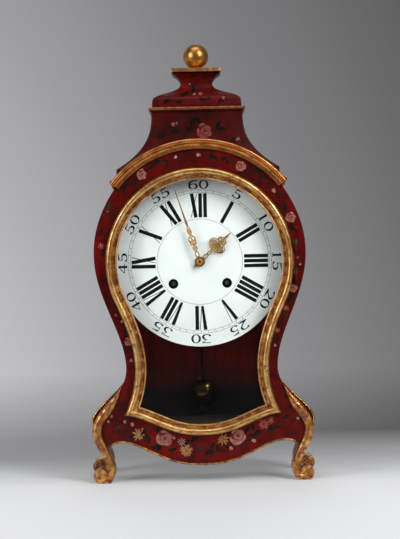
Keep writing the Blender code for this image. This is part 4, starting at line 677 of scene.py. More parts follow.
def rounded_section(half, y_front, y_back, z, corner):
    """Level rectangle with rounded corners, as a ring of points."""
    ring = []
    for sx, y, first in ((1, y_back, 0), (-1, y_back, 90), (-1, y_front, 180), (1, y_front, 270)):
        inner_y = y - corner if y == y_back else y + corner
        for angle in spread(first, first + 90, 4):
            a = math.radians(angle)
            ring.append((sx * (half - corner) + corner * math.cos(a), inner_y + corner * math.sin(a), z))
    return ring


def hood_front(half):
    return SIDE_FRONT_Y + (HOOD_BASE_HALF - half) * HOOD_DEPTH_SHARE


def hood_half(z):
    t = min(max((z - HOOD_EDGE_Z) / (HOOD_TOP_Z - HOOD_EDGE_Z), 0.0), 1.0)
    return HOOD_TOP_HALF + (HOOD_BASE_HALF - HOOD_TOP_HALF) * (1 - t) ** HOOD_SWEEP


def cut_away(piece, tool, name):
    """Take one solid out of another."""
    change = piece.modifiers.new("cut", "BOOLEAN")
    change.operation = "DIFFERENCE"
    change.object = tool
    made = settled(piece, name)
    bpy.data.objects.remove(tool, do_unlink=True)
    return made


def arc_points(x, y, radius_x, radius_y, first, last, count):
    """Part of an ellipse between two angles in degrees."""
    return [(x + radius_x * math.cos(math.radians(a)), y + radius_y * math.sin(math.radians(a)))
            for a in spread(first, last, count)]


rings = [rounded_section(HOOD_BASE_HALF, SIDE_FRONT_Y, SIDE_BACK_Y, SIDE_TOP_Z, HOOD_CORNER)]
for z in spread(HOOD_EDGE_Z, HOOD_TOP_Z, 40):
    rings.append(rounded_section(hood_half(z), hood_front(hood_half(z)), SIDE_BACK_Y, z, HOOD_CORNER))
roof_radius = ARCH_RADIUS + JOINT_GAP
roof_line = arc_points(0.0, ARCH_Z, roof_radius, roof_radius, 0, 360, 240)[:-1]
roof_core = sawn("roof_core", [roof_line], FRONT_Y - 0.02, 0.10)
hood = cut_away(skin("hood_block", rings), roof_core, "hood_board")
hood_lacquer = lacquer_finish("red_lacquer_hood", (0.032, 0.0038, 0.003), (0.064, 0.0042, 0.003),
                              (0.112, 0.0045, 0.0025), 0.12, 0.30, 0.46)
finish(hood, hood_lacquer, "case", "red_lacquer", "hood")

# Cap block
# A turned-over wave of wood between the hood and the top plate, lacquered and painted.
CAP_HALF = 0.0622
CAP_NECK_HALF = 0.0225
CAP_HEIGHT = 0.0490
CAP_DEPTH_SHARE = 0.72
CAP_CORNER = 0.0014
CAP_Y = 0.019548
MOULDING_Z = HOOD_TOP_Z + JOINT_GAP
MOULDING_HEIGHT = 0.0072
CAP_Z = MOULDING_Z + MOULDING_HEIGHT + JOINT_GAP
CAP_SHAPE = ((1.0, 0.0), (1.0, 0.12), (0.945, 0.265), (0.69, 0.378), (0.353, 0.471),
             (0.076, 0.58), (0.0, 0.724), (0.09, 0.878), (0.28, 1.0))


def smooth_line(points, per_span):
    """Smooth line through a few points."""
    line = []
    for i in range(len(points) - 1):
        a = Vector(points[max(i - 1, 0)])
        b = Vector(points[i])
        c = Vector(points[i + 1])
        d = Vector(points[min(i + 2, len(points) - 1)])
        for k in range(per_span):
            t = k / per_span
            spot = 0.5 * (2 * b + (c - a) * t + (2 * a - 5 * b + 4 * c - d) * t ** 2
                          + (3 * b - a - 3 * c + d) * t ** 3)
            line.append(tuple(spot))
    line.append(tuple(points[-1]))
    return line


cap_line = []
for share, rise in smooth_line(CAP_SHAPE, 6):
    cap_line.append((CAP_NECK_HALF + (CAP_HALF - CAP_NECK_HALF) * share, CAP_Z + CAP_HEIGHT * rise))
rings = []
for half_wide, z in cap_line:
    depth = half_wide * CAP_DEPTH_SHARE
    rings.append(rounded_section(half_wide, CAP_Y - depth, CAP_Y + depth, z, CAP_CORNER))
finish(skin("cap_wave", rings), red_lacquer, "case", "red_lacquer", "cap_block")

# Gold leaf
# Leaf laid over red clay on carved wood and burnished. It is rubbed through to the clay in places
# and has specks of dark grime.
RED_CLAY = (0.22, 0.048, 0.017)
LEAF_GRIME = (0.075, 0.028, 0.010)
WELL_KEPT = (0.56, 0.68)
RUBBED = (0.42, 0.57)


def leaf_finish(name, low, middle, high, wear):
    rubbing = (155.0, 8.0)
    made = aged_finish(name, (75.0, 5.0), [(0.30, low), (0.70, high), (0.5, middle)],
                       [(rubbing, *wear, 1.0, RED_CLAY), ((420.0, 3.0), 0.60, 0.72, 0.32, LEAF_GRIME)],
                       (rubbing, 0.30, wear[1], 0.27, 0.46), ((260.0, 4.0), 0.10, 0.0006))
    metal = band(made, speckle(made, *rubbing), "Fac", *wear, 1.0, 0.25)
    wire(made, metal, "Result", coat_of(made), "Metallic")
    return made


LEAF_TONES = ((0.46, 0.210, 0.060), (0.73, 0.415, 0.138), (0.92, 0.60, 0.25))
gold_leaf = leaf_finish("gold_leaf", *LEAF_TONES, WELL_KEPT)
rubbed_leaf = leaf_finish("gold_leaf_rubbed", *LEAF_TONES, RUBBED)

# Arch moulding
# A gilt moulding bent over the arched top, with a roll at its outer edge and a hollow under it, and
# a short straight return along the top of each side.
CORNICE_INNER = 0.1405
CORNICE_OUTER = 0.1540
CORNICE_FRONT_Y = -0.0723
CORNICE_END_HALF = 0.1205
CORNICE_LIP = 0.0016
CORNICE_LIP_HIGH = 0.0040
FACE_Y = FRONT_Y - JOINT_GAP
ROLL_RADIUS = 0.0030
HOLLOW_BACK = 0.0007
RETURN_HALF = 0.1150
RETURN_WIDTH = 0.0062
RETURN_LOW_Z = 0.4034
RETURN_TOP_Z = 0.4154
RETURN_FOOT = 0.0015
RETURN_NECK = 0.0050

roll_y = CORNICE_FRONT_Y + ROLL_RADIUS
lip_x = CORNICE_INNER + CORNICE_LIP
lip_y = FACE_Y - CORNICE_LIP_HIGH
hollow_y = roll_y + HOLLOW_BACK
profile = [(CORNICE_INNER, FACE_Y), (CORNICE_INNER, lip_y + 0.0004), (lip_x, lip_y)]
hollow_wide = CORNICE_OUTER - 2 * ROLL_RADIUS - lip_x
profile += arc_points(lip_x, hollow_y, hollow_wide, lip_y - hollow_y, 90, 0, 8)[1:]
profile += arc_points(CORNICE_OUTER - ROLL_RADIUS, roll_y, ROLL_RADIUS, ROLL_RADIUS, 180, 360, 14)
profile.append((CORNICE_OUTER, FACE_Y))
start = math.acos(CORNICE_END_HALF / CORNICE_OUTER)
rings = []
for angle in spread(start, math.pi - start, 120):
    rings.append([(r * math.cos(angle), y, ARCH_Z + r * math.sin(angle)) for r, y in profile])
arch_leaf = leaf_finish("gold_leaf_arch", (0.41, 0.125, 0.027), (0.66, 0.255, 0.066), (0.84, 0.37, 0.12),
                        WELL_KEPT)
finish(skin("arch_band", rings), arch_leaf, "case", "gilt_wood", "arch_moulding")
section = [(0.0, RETURN_LOW_Z), (RETURN_FOOT, RETURN_LOW_Z)]
section += arc_points(RETURN_FOOT, RETURN_TOP_Z - RETURN_NECK, 0.0022,
                      RETURN_TOP_Z - RETURN_LOW_Z - RETURN_NECK, 270, 360, 6)
section += arc_points(RETURN_WIDTH - ROLL_RADIUS, RETURN_TOP_Z - ROLL_RADIUS,
                      ROLL_RADIUS, ROLL_RADIUS, 300, 450, 10)
section.append((0.0, RETURN_TOP_Z))
for word, side in SIDES:
    rings = []
    for y, shrink in ((CORNICE_FRONT_Y + 0.0014, 0.9), (CORNICE_FRONT_Y + 0.0022, 1.0), (SIDE_BACK_Y, 1.0)):
        rings.append([(side * (RETURN_HALF + x * shrink), y, z) for x, z in section])
    finish(skin("arch_return_" + word, rings), arch_leaf, "case", "gilt_wood")

# Hood moulding, top plate and ball
# A lacquered strip round the top of the hood with a gilt nose, and a plate with a gilt edge over the
# cap block, both lacquered over at their ends, and a turned ball covered in leaf.
MOULDING_PROUD = 0.004
PLATE_HALF = 0.035
PLATE_HEIGHT = 0.0071
PLATE_Z = CAP_Z + CAP_HEIGHT + JOINT_GAP
BALL_RADIUS = 0.0178
BALL_FOOT = 0.0076
BALL_FOOT_HIGH = 0.0013
BALL_Z = PLATE_Z + PLATE_HEIGHT + JOINT_GAP + BALL_RADIUS
plate_depth = PLATE_HALF * CAP_DEPTH_SHARE
hood_place = (HOOD_TOP_HALF + MOULDING_PROUD, hood_front(HOOD_TOP_HALF) - MOULDING_PROUD,
              SIDE_BACK_Y + MOULDING_PROUD, MOULDING_Z, MOULDING_HEIGHT)
plate_place = (PLATE_HALF, CAP_Y - plate_depth, CAP_Y + plate_depth, PLATE_Z, PLATE_HEIGHT)


def moulded_plate(name, place, edge):
    """Plate at a (half width, front, back, z, height) whose edge follows (inset, share of the height)."""
    half_wide, y_front, y_back, z, high = place
    rings = []
    for inset, rise in edge:
        rings.append(rounded_section(half_wide - inset, y_front + inset, y_back - inset, z + high * rise,
                                     CAP_CORNER))
    return skin(name, rings)


nose = [(0.0042, 0.0), (0.0040, 0.10)] + arc_points(0.0040, 0.42, 0.0024, -0.32, 90, 180, 5)
finish(moulded_plate("hood_moulding_cove", hood_place, nose), hood_lacquer, "case", "red_lacquer")
roll = [(0.0018, 0.42), (0.0012, 0.425)] + arc_points(0.0012, 0.71, -0.0012, 0.285, -80, 90, 9)
roll.append((0.0030, 1.0))
upper_strip = moulded_plate("hood_moulding_roll", hood_place, roll)
strip_leaf = leaf_finish("gold_leaf_strip", (0.30, 0.095, 0.030), (0.48, 0.187, 0.072), (0.61, 0.27, 0.13),
                         RUBBED)
finish(upper_strip, strip_leaf, "case", "gilt_wood", "hood_moulding")
cove = [(0.0040, 0.0), (0.0030, 0.08), (0.0016, 0.20), (0.0012, 0.24)]
finish(moulded_plate("top_plate_cove", plate_place, cove), red_lacquer, "case", "red_lacquer")
square = [(0.0014, 0.24), (0.0002, 0.26), (0.0, 0.30), (0.0, 0.92), (0.0004, 0.98), (0.0012, 1.0)]
plate_edge = moulded_plate("top_plate_edge", plate_place, square)
finish(plate_edge, gold_leaf, "case", "gilt_wood", "cap_plate")
for strip in (upper_strip, plate_edge):
    strip.data.materials.append(red_lacquer)
    for face in strip.data.polygons:
        if abs(face.normal.x) > 0.6:
            face.material_index = 1

foot_z = BALL_Z - BALL_RADIUS
foot_angle = math.degrees(math.acos(1 - BALL_FOOT_HIGH / BALL_RADIUS))
profile = [(0.0004, foot_z), (BALL_FOOT - 0.0004, foot_z), (BALL_FOOT, foot_z + BALL_FOOT_HIGH / 2)]
profile += arc_points(0.0, BALL_Z, BALL_RADIUS, BALL_RADIUS, foot_angle - 90, 89, 34)
rings = []
for a in spread(0, 2 * math.pi, 64)[:-1]:
    rings.append([(r * math.cos(a), CAP_Y + r * math.sin(a), z) for r, z in profile])
ball = skin("ball", rings, closed=True, crease_deg=50)
ball_leaf = leaf_finish("gold_leaf_ball", (0.40, 0.165, 0.040), (0.62, 0.300, 0.080), (0.80, 0.45, 0.15),
                        (0.60, 0.74))
finish(ball, ball_leaf, "case", "gilt_wood", "finial_ball")

# Front legs
# A carved gilt band runs from a fine point on the front corner down the swelling of the case, over
# the foot and round into a scroll. The foot is a thicker block behind it.
LEG_FRONT_Y = -0.067
FOOT_FACE_Y = -0.0640
FOOT_DEPTH = 0.030
FOOT_EASE = 0.0012
NECK_X = 0.1285
NECK_Z = 0.027
NECK_WIDTH = 0.0115
HEEL_X = 0.1275
HEEL_Z = 0.013
SCROLL_X = 0.1415
SCROLL_Z = 0.0095
SCROLL_RADIUS = 0.0100
SCROLL_TURNS = 1.5
SCROLL_START_DEG = 215
BAND_ROUND = 0.72
BAND_BASE = 0.0006
BAND_SUNK = 0.002


def foot_outline(side, out):
    """Bent foot with its scroll turned outwards, standing on a flat sole."""
    top_z = SKIRT_Z - JOINT_GAP
    top_outer = case_half(SKIRT_Z) - JOINT_GAP
    top_inner = top_outer - LEG_WIDTH + JOINT_GAP
    crotch = arc_points(SCROLL_X, SCROLL_Z, SCROLL_RADIUS, SCROLL_RADIUS, 150, 150, 1)[0]
    outer = [(top_outer, top_z), (NECK_X + NECK_WIDTH / 2, NECK_Z + 0.004), crotch]
    inner = [(HEEL_X, 0.0), (HEEL_X - NECK_WIDTH / 2, HEEL_Z), (NECK_X - NECK_WIDTH / 2, NECK_Z),
             (top_inner, top_z)]
    outline = smooth_line(outer, 10)
    outline += arc_points(SCROLL_X, SCROLL_Z, SCROLL_RADIUS, SCROLL_RADIUS, 136, -90, 36)
    outline += smooth_line(inner, 10)
    return [(side * (x + out), max(0.0, z)) for x, z in outline]


def carved_band(name, path, side, base_y):
    """Half-round band along (x, z, half width, back y) points."""
    rings = []
    for i, (x, z, wide, back_y) in enumerate(path):
        cross = across_line(path, i)
        ring = []
        for share, high in arc_points(0.0, 0.0, wide, wide * BAND_ROUND, 0, 180, 10):
            ring.append((side * (x + cross.x * share), base_y - high, z + cross.y * share))
        for share in (-wide, wide):
            ring.append((side * (x + cross.x * share), back_y, z + cross.y * share))
        rings.append(ring)
    return skin(name, rings, crease_deg=50)


scroll_path = [(0.1386, SKIRT_Z - 0.001, 0.0060), (0.1328, 0.038, 0.0054), (0.1286, 0.0270, 0.0050),
               (0.1272, 0.0170, 0.0047), (0.1285, 0.0090, 0.0040), (0.1317, 0.0058, 0.0033)]
for t in spread(0.0, 1.0, 30):
    angle = math.radians(SCROLL_START_DEG + 360 * SCROLL_TURNS * t)
    reach = 0.0074 - 0.0061 * t ** 1.1
    wide = 0.0026 - 0.0014 * t
    scroll_path.append((SCROLL_X + reach * math.cos(angle), SCROLL_Z + reach * math.sin(angle), wide))
scroll_line = smooth_line(scroll_path, 4)
leg_path = []
for z in spread(LEG_TIP_Z, SKIRT_Z + 0.006, 34):
    wide = max(leg_width(z) / 2, 0.0002)
    leg_path.append((case_half(z) - wide, z, wide, FRONT_Y + BOARD_THICK - JOINT_GAP))
leg_path += [(x, z, wide, FOOT_FACE_Y + BAND_SUNK) for x, z, wide in scroll_line]
foot_leaf = leaf_finish("gold_leaf_foot", (0.20, 0.062, 0.015), (0.60, 0.285, 0.078), (0.97, 0.58, 0.21),
                        (0.46, 0.60))
for word, side in SIDES:
    foot = sawn("front_foot_" + word, [foot_outline(side, 0.0)], FOOT_FACE_Y, LEG_FRONT_Y + FOOT_DEPTH,
                FOOT_EASE)
    finish(foot, foot_leaf, "case", "gilt_wood", "leg_front_" + word)
    leg = carved_band("front_leg_band_" + word, leg_path, side, FOOT_FACE_Y + BAND_BASE)
    finish(leg, foot_leaf, "case", "gilt_wood")

# Rear legs
# The same feet under the back corners, set a little wider, with a narrow gilt edge up the back of
# each side board.
REAR_FOOT_OUT = 0.008
REAR_FACE_Y = CASE_BACK_Y - FOOT_DEPTH
EDGE_WIDE = 0.0085
EDGE_PROUD = 0.0022
EDGE_SUNK = 0.002
curl = [(x + REAR_FOOT_OUT, z, wide, REAR_FACE_Y + BAND_SUNK) for x, z, wide in scroll_line]
for word, side in SIDES:
    foot = sawn("rear_foot_" + word, [foot_outline(side, REAR_FOOT_OUT)], REAR_FACE_Y, CASE_BACK_Y, FOOT_EASE)
    finish(foot, foot_leaf, "case", "gilt_wood", "leg_rear_" + word)
    curl_band = carved_band("rear_foot_curl_" + word, curl, side, REAR_FACE_Y + BAND_BASE)
    finish(curl_band, foot_leaf, "case", "gilt_wood")
    rings = []
    for z in spread(LEG_TIP_Z, SKIRT_Z, 40):
        taper = max(leg_width(z) / LEG_WIDTH, 0.03)
        ring = []
        for a in spread(0, 180, 8):
            y = SIDE_BACK_Y - EDGE_WIDE * taper * (1 - math.cos(math.radians(a))) / 2
            depth = (y - SIDE_FRONT_Y) / (SIDE_BACK_Y - SIDE_FRONT_Y)
            ring.append((side * (case_half(z, depth) + EDGE_PROUD * taper * math.sin(math.radians(a))), y, z))
        for y in (SIDE_BACK_Y - EDGE_WIDE * taper, SIDE_BACK_Y):
            ring.append((side * (case_half(z, 1) - EDGE_SUNK), y, z))
        rings.append(ring)
    finish(skin("rear_edge_" + word, rings), gold_leaf, "case", "gilt_wood")

# Apron bead
# A thin gilt half-round glued along the waved lower edge of the front board.
BEAD_RADIUS = 0.0015
BEAD_PROUD = 0.0007


def rolled(name, lines, radius, roundness, capped=False):
    """Round rods of one thickness along lines of (x, y, z) points."""
    curve = bpy.data.curves.new(name, "CURVE")
    curve.dimensions = "3D"
    curve.bevel_depth = radius
    curve.bevel_resolution = roundness
    curve.use_fill_caps = capped
    for line in lines:
        spline = curve.splines.new("POLY")
        spline.points.add(len(line) - 1)
        for point, spot in zip(spline.points, line):
            point.co = (*spot, 1)
    return settled(bpy.data.objects.new(name + "_drawing", curve), name)


bead_line = []
for x in spread(-APRON_END_HALF, APRON_END_HALF, 120):
    bead_line.append((x, FACE_Y - BEAD_PROUD, apron_z(abs(x)) + BEAD_RADIUS))
finish(rolled("apron_roll", [bead_line], BEAD_RADIUS, 4, True), foot_leaf, "case", "gilt_wood", "apron_bead")

# Door frame
# Gilt moulding mitred at the two lower corners and bent round the dial: a bold outer roll, a hollow
# rubbed down to the red clay, and a thin bead next to the glass. The back is plain stained wood.
DOOR_FRONT_Y = -0.0750
DOOR_BACK_Y = FACE_Y - 0.0002
DOOR_WIDTH = 0.0155
DOOR_REBATE = 0.0115
LIP_Y = -0.0663
ROLL_WIDE = 0.0094
ROLL_HIGH = 0.0062
HOLLOW_HIGH = 0.0016
BEAD_WIDE = 0.0023
BEAD_HIGH = 0.0015
HOLLOW_WIDE = DOOR_WIDTH - BEAD_WIDE - ROLL_WIDE
roll_side_y = DOOR_FRONT_Y + ROLL_HIGH
hollow_y = roll_side_y - 0.0004
profile = [(0.0, DOOR_BACK_Y)]
profile += arc_points(ROLL_WIDE / 2, roll_side_y, ROLL_WIDE / 2, ROLL_HIGH, 180, 360, 16)
roll_end = len(profile) - 1
profile += arc_points(ROLL_WIDE + HOLLOW_WIDE / 2, hollow_y, HOLLOW_WIDE / 2, HOLLOW_HIGH, 165, 15, 7)
hollow_end = len(profile) - 1
profile += arc_points(DOOR_WIDTH - BEAD_WIDE / 2, hollow_y, BEAD_WIDE / 2, BEAD_HIGH, 190, 360, 8)
front_end = len(profile)
profile += [(DOOR_WIDTH, LIP_Y), (DOOR_REBATE, LIP_Y), (DOOR_REBATE, DOOR_BACK_Y)]
outlines = [(door_ring(inset), y) for inset, y in profile]
rings = []
for i in range(len(outlines[0][0])):
    rings.append([(line[i][0], y, line[i][1]) for line, y in outlines])
door = skin("door_moulding", rings, closed=True, crease_deg=42)
finish(door, gold_leaf, "door", "gilt_wood", "door_frame")
door.data.materials.append(rubbed_leaf)
door.data.materials.append(upright_wood)
for face in door.data.polygons:
    part = face.index % len(profile)
    if roll_end <= part < hollow_end:
        face.material_index = 1
    elif part >= front_end:
        face.material_index = 2

# Glass
# One flat pane puttied into the back of the door frame.
pane_glass = bare_material("door_pane")
glazing = node_of(pane_glass, "ShaderNodeBsdfPrincipled", Base_Color=(0.97, 0.99, 0.98, 1.0), Roughness=0.0,
                  IOR=1.30, Transmission_Weight=1.0)
lets_lamps = node_of(pane_glass, "ShaderNodeBsdfTransparent", Color=(0.95, 0.97, 0.96, 1.0))
ray = pane_glass.node_tree.nodes.new("ShaderNodeLightPath")
either = either_shader(pane_glass, ray, "Is Shadow Ray", glazing, lets_lamps)
wire(pane_glass, either, "Shader", output_of(pane_glass), "Surface")
recoated("door_glass", pane_glass)


# Hinges
# Two small brass butt hinges at the right of the door. The leaves on the case are lacquered over with
# it, and the leaves on the door are darkened with age.
def metal_finish(name, light, dark, rough_low, rough_high, scale=160.0, stretch=(1, 1, 1)):
    """Metal with clouded tarnish and fine rubbing marks."""
    return aged_finish(name, (scale, 5.0, stretch), [(0.34, dark), (0.66, light)], (),
                       ((scale * 2.3, 4.0, stretch), 0.3, 0.7, rough_low, rough_high),
                       ((scale * 6, 2.0, stretch), 0.08, 0.0002), Metallic=1.0)


HINGE_EASE = 0.0003
aged_brass = metal_finish("aged_brass", (0.16, 0.085, 0.030), (0.06, 0.028, 0.012), 0.34, 0.55)
for leaf, coat in (("hinge_case_", red_lacquer), ("hinge_door_", aged_brass)):
    for place in ("upper", "lower"):
        soft = recoated(leaf + place, coat).modifiers.new("eased", "BEVEL")
        soft.width = HINGE_EASE
        soft.segments = 2

# Dial
# One convex copper disc fired with white enamel, with two winding holes and a hole for the hands.
DIAL_RADIUS = 0.1175
DIAL_RIM_Y = -0.040
DIAL_DOME = 0.008
DIAL_THICK = 0.002
DIAL_EASE = 0.0006
DIAL_HOLE = 0.0055
WIND_X = 0.037
WIND_Z = DIAL_Z - 0.030
WIND_HOLE = 0.0068


def turned_piece(name, profile, x, z, count=48, crease_deg=30):
    """Piece turned about an axis that runs front to back, from its closed profile of (radius, y)."""
    rings = []
    for a in spread(0, 2 * math.pi, count)[:-1]:
        rings.append([(x + r * math.cos(a), y, z + r * math.sin(a)) for r, y in profile])
    return skin(name, rings, closed=True, crease_deg=crease_deg)


def dial_y(x, z):
    """Front surface of the dial at a point."""
    return DIAL_RIM_Y - DIAL_DOME * (1 - (x ** 2 + (z - DIAL_Z) ** 2) / DIAL_RADIUS ** 2)


radii = spread(DIAL_HOLE, DIAL_RADIUS - DIAL_EASE, 22) + [DIAL_RADIUS - 0.0002]
front = [(r, dial_y(r, DIAL_Z)) for r in radii] + [(DIAL_RADIUS, DIAL_RIM_Y + DIAL_EASE)]
back = [(r, y + DIAL_THICK) for r, y in reversed(front)]
plate = turned_piece("dial_plate", front + back, 0.0, DIAL_Z, 160, 35)
for side in (-1, 1):
    hole_line = arc_points(side * WIND_X, WIND_Z, WIND_HOLE, WIND_HOLE, 0, 360, 48)[:-1]
    plate = cut_away(plate, sawn("hole_core", [hole_line], -0.06, -0.03), "dial_plate")
enamel = aged_finish("white_enamel", (22.0, 3.0),
                     [(0.35, (0.80, 0.835, 0.825)), (0.65, (0.86, 0.885, 0.875))],
                     [((900.0, 2.0), 0.71, 0.76, 0.5, (0.42, 0.40, 0.36))],
                     ((40.0, 3.0), 0.3, 0.7, 0.10, 0.20), ((60.0, 2.0), 0.05, 0.0005), Specular_IOR_Level=0.4)
finish(plate, enamel, "case", "enamel", "dial")

# Figures
# Hours in upright letters, minutes in figures and a double track of minute marks, all painted in
# black with a fine brush and fired on. Each stroke is a thin layer on the enamel.
INK_LIFT = 0.00006
HOUR_INNER = 0.0610
HOUR_OUTER = 0.0943
THICK = 0.0050
THIN = 0.0009
MINUTE_INNER = 0.1004
MINUTE_OUTER = 0.1128
TRACK_INNER = 0.0956
TRACK_OUTER = 0.0992
INNER_CIRCLE = 0.0590
HOUR_NAMES = ("I", "II", "III", "IIII", "V", "VI", "VII", "VIII", "IX", "X", "XI", "XII")
ink = aged_finish("black_enamel", (500.0, 3.0),
                  [(0.3, (0.003, 0.003, 0.004)), (0.75, (0.012, 0.012, 0.013))], (),
                  ((260.0, 2.0), 0.3, 0.7, 0.2, 0.38), Specular_IOR_Level=0.05)
track_ink = aged_finish("grey_enamel", (300.0, 3.0),
                        [(0.35, (0.02, 0.02, 0.02)), (0.70, (0.08, 0.08, 0.078))], (),
                        ((200.0,), 0.3, 0.7, 0.2, 0.4))


class Strokes:
    """Pen strokes of changing width, gathered into one mesh."""

    def __init__(self):
        self.verts = []
        self.faces = []

    def add(self, line, widths, place):
        """Add a stroke along (u, v) points; place turns (u, v) into a point on the surface."""
        first = len(self.verts)
        for i, here in enumerate(line):
            cross = across_line(line, i) * widths[i] / 2
            self.verts.append(place(*(Vector(here) - cross)))
            self.verts.append(place(*(Vector(here) + cross)))
        for k in range(first, len(self.verts) - 2, 2):
            self.faces.append((k, k + 1, k + 3, k + 2))

    def bar(self, start, end, wide, place, end_wide=None):
        """Straight stroke with square ends."""
        line = [Vector(start).lerp(Vector(end), t) for t in spread(0, 1, 8)]
        last = wide if end_wide is None else end_wide
        self.add(line, [wide + (last - wide) * t for t in spread(0, 1, 8)], place)

    def piece(self, name, material):
        finish(mesh_piece(name, self.verts, self.faces), material, "case", "enamel")


def on_dial(degrees, middle):
    """Place for a figure drawn upright about (0, 0), whose middle stands at a radius and a clock angle."""
    angle = math.radians(degrees)

    def place(u, v):
        reach = middle + v
        x = u * math.cos(angle) + reach * math.sin(angle)
        z = DIAL_Z - u * math.sin(angle) + reach * math.cos(angle)
        return (x, dial_y(x, z) - INK_LIFT, z)

    return place


def hour_letters(strokes, letters, place):
    """Roman figure in thick and thin strokes with plain ends."""
    top = (HOUR_OUTER - HOUR_INNER) / 2
    widths = {"I": 0.0067, "V": 0.0104, "X": 0.0108}
    at = -sum(widths[letter] for letter in letters) / 2
    for letter in letters:
        wide = widths[letter]
        middle = at + wide / 2
        if letter == "I":
            strokes.bar((middle, -top), (middle, top), THICK, place)
        elif letter == "V":
            strokes.bar((middle - 0.0030, top), (middle + 0.0010, -top), THICK, place, 0.0032)
            strokes.bar((middle + 0.0046, top), (middle + 0.0020, -top), THIN, place)
        else:
            strokes.bar((middle - 0.0030, top), (middle + 0.0026, -top), THICK, place)
            strokes.bar((middle + 0.0042, top), (middle - 0.0040, -top), THIN, place)
        at += wide


hours = Strokes()
for number, letters in enumerate(HOUR_NAMES, 1):
    hour_letters(hours, letters, on_dial(30 * number, (HOUR_INNER + HOUR_OUTER) / 2))
hours.piece("hour_letters", ink)

FIGURE_HIGH = MINUTE_OUTER - MINUTE_INNER
FIGURE_WIDE = 0.0134
FIGURE_GAP = 0.0012
FAT = 0.0030
FINE = 0.0009
LOW_BOWL = 0.0039


def bowl(x, y, radius_x, radius_y, first, last, count=26):
    """Curved stroke of a figure, thick at its sides and thin at its top and bottom."""
    widths = [FINE + (FAT - FINE) * abs(math.cos(math.radians(a))) ** 1.6 for a in spread(first, last, count)]
    return arc_points(x, y, radius_x, radius_y, first, last, count), widths


def fine_line(*points):
    return list(points), [FINE] * len(points)


def figure_strokes(digit):
    """Strokes of one figure as (line, widths), with its middle at (0, 0)."""
    top = FIGURE_HIGH / 2
    wide = FIGURE_WIDE / 2
    round_x = wide - FAT / 2
    low_z = -top + LOW_BOWL
    low_y = LOW_BOWL - FINE / 2
    if digit == "0":
        return [bowl(0, 0, round_x, top - FINE / 2, 0, 360, 40)]
    if digit == "1":
        flag = [(-0.0028, top - 0.0024), (0, top - 0.0004)]
        foot = fine_line((-0.0030, -top + FINE / 2), (0.0030, -top + FINE / 2))
        return [([(0, -top), (0, 0), (0, top)], [FAT] * 3), (flag, [FINE, 0.0012]), foot]
    if digit == "2":
        neck = smooth_line([(wide - 0.0016, 0.0014), (0.0010, -0.0022), (-wide + 0.0008, -top + 0.0008)], 5)
        base = [(-wide + 0.0004, -top + 0.0006), (0, -top + 0.0011), (wide, -top + 0.0005)]
        return [bowl(0, -low_z, round_x, low_y, 165, -20),
                (neck, [0.0020 - 0.0001 * i for i in range(len(neck))]),
                (base, [0.0011, FAT * 0.9, 0.0008])]
    if digit == "3":
        bar = [(-wide + 0.0010, top - 0.0005), (wide - 0.0008, top - 0.0005)]
        slope = fine_line((wide - 0.0008, top - 0.0008), (-0.0004, 0.0012))
        return [(bar, [0.0011, 0.0011]), slope, bowl(-0.0004, low_z, round_x, low_y, 80, -160)]
    if digit == "4":
        slope = fine_line((0.0018, top - 0.0002), (-wide, -0.0022))
        bar = fine_line((-wide, -0.0022), (wide, -0.0022))
        return [([(0.0020, -top), (0.0020, top)], [FAT, FAT]), slope, bar]
    if digit == "5":
        bar = [(-0.0028, top - 0.0008), (wide - 0.0006, top - 0.0003)]
        neck = fine_line((-0.0028, top - 0.0005), (-0.0034, 0.0010))
        return [(bar, [FAT * 0.75, 0.0007]), neck, bowl(-0.0004, low_z, round_x, low_y, 128, -158)]
    back = smooth_line([(-round_x, -0.0022), (-wide + 0.0016, 0.0020), (0.0004, top - 0.0010),
                        (wide - 0.0014, top - 0.0008)], 8)
    return [bowl(0, low_z, round_x, low_y, 0, 360, 34),
            (back, [FAT * 0.9 - 0.00006 * i for i in range(len(back))])]


minutes = Strokes()
for number in range(5, 61, 5):
    digits = str(number)
    place = on_dial(6 * number, (MINUTE_INNER + MINUTE_OUTER) / 2)
    for i, digit in enumerate(digits):
        shift = (i - (len(digits) - 1) / 2) * (FIGURE_WIDE + FIGURE_GAP)
        for line, widths in figure_strokes(digit):
            minutes.add([(u + shift, v) for u, v in line], widths, place)
minutes.piece("minute_figures", ink)

track = Strokes()
for radius, wide in ((INNER_CIRCLE, 0.00045), (TRACK_INNER, 0.0004), (TRACK_OUTER, 0.0004)):
    line = arc_points(0, 0, radius, radius, 0, 360, 180)
    track.add(line, [wide] * len(line), on_dial(0, 0.0))
for number in range(60):
    track.bar((0, TRACK_INNER), (0, TRACK_OUTER), 0.00050, on_dial(6 * number, 0.0))
track.piece("minute_track", track_ink)

# Hands
# Two hands of gilt brass, sawn out of sheet and pierced into chains of small scrolls. The hour hand
# fits on the pipe of the hour wheel and the minute hand on the cannon pinion.
HAND_THICK = 0.001
HAND_EASE = 0.00012
HOUR_BACK_Y = -0.0505
HOUR_DEG = 48
HOUR_HOLE = 0.0045
HOUR_HUB = 0.0071
MINUTE_BACK_Y = -0.0555
MINUTE_DEG = -18.2
MINUTE_HOLE = 0.0031
MINUTE_HUB = 0.0062
SCROLL_WIRE = 0.00072


def turned_to(points, degrees):
    """Points drawn for a hand at twelve, turned clockwise about the centre of the dial."""
    angle = math.radians(degrees)
    cos = math.cos(angle)
    sin = math.sin(angle)
    return [(u * cos + v * sin, DIAL_Z - u * sin + v * cos) for u, v in points]


def joined(name, pieces):
    """One mesh piece out of several."""
    work = bmesh.new()
    for piece in pieces:
        work.from_mesh(piece.data)
        bpy.data.objects.remove(piece, do_unlink=True)
    made = mesh_piece(name, [], [])
    work.to_mesh(made.data)
    work.free()
    return shaded(made, 40)


def loop(u, v, half_wide, half_long):
    return arc_points(u, v, half_wide, half_long, 0, 360, 28)


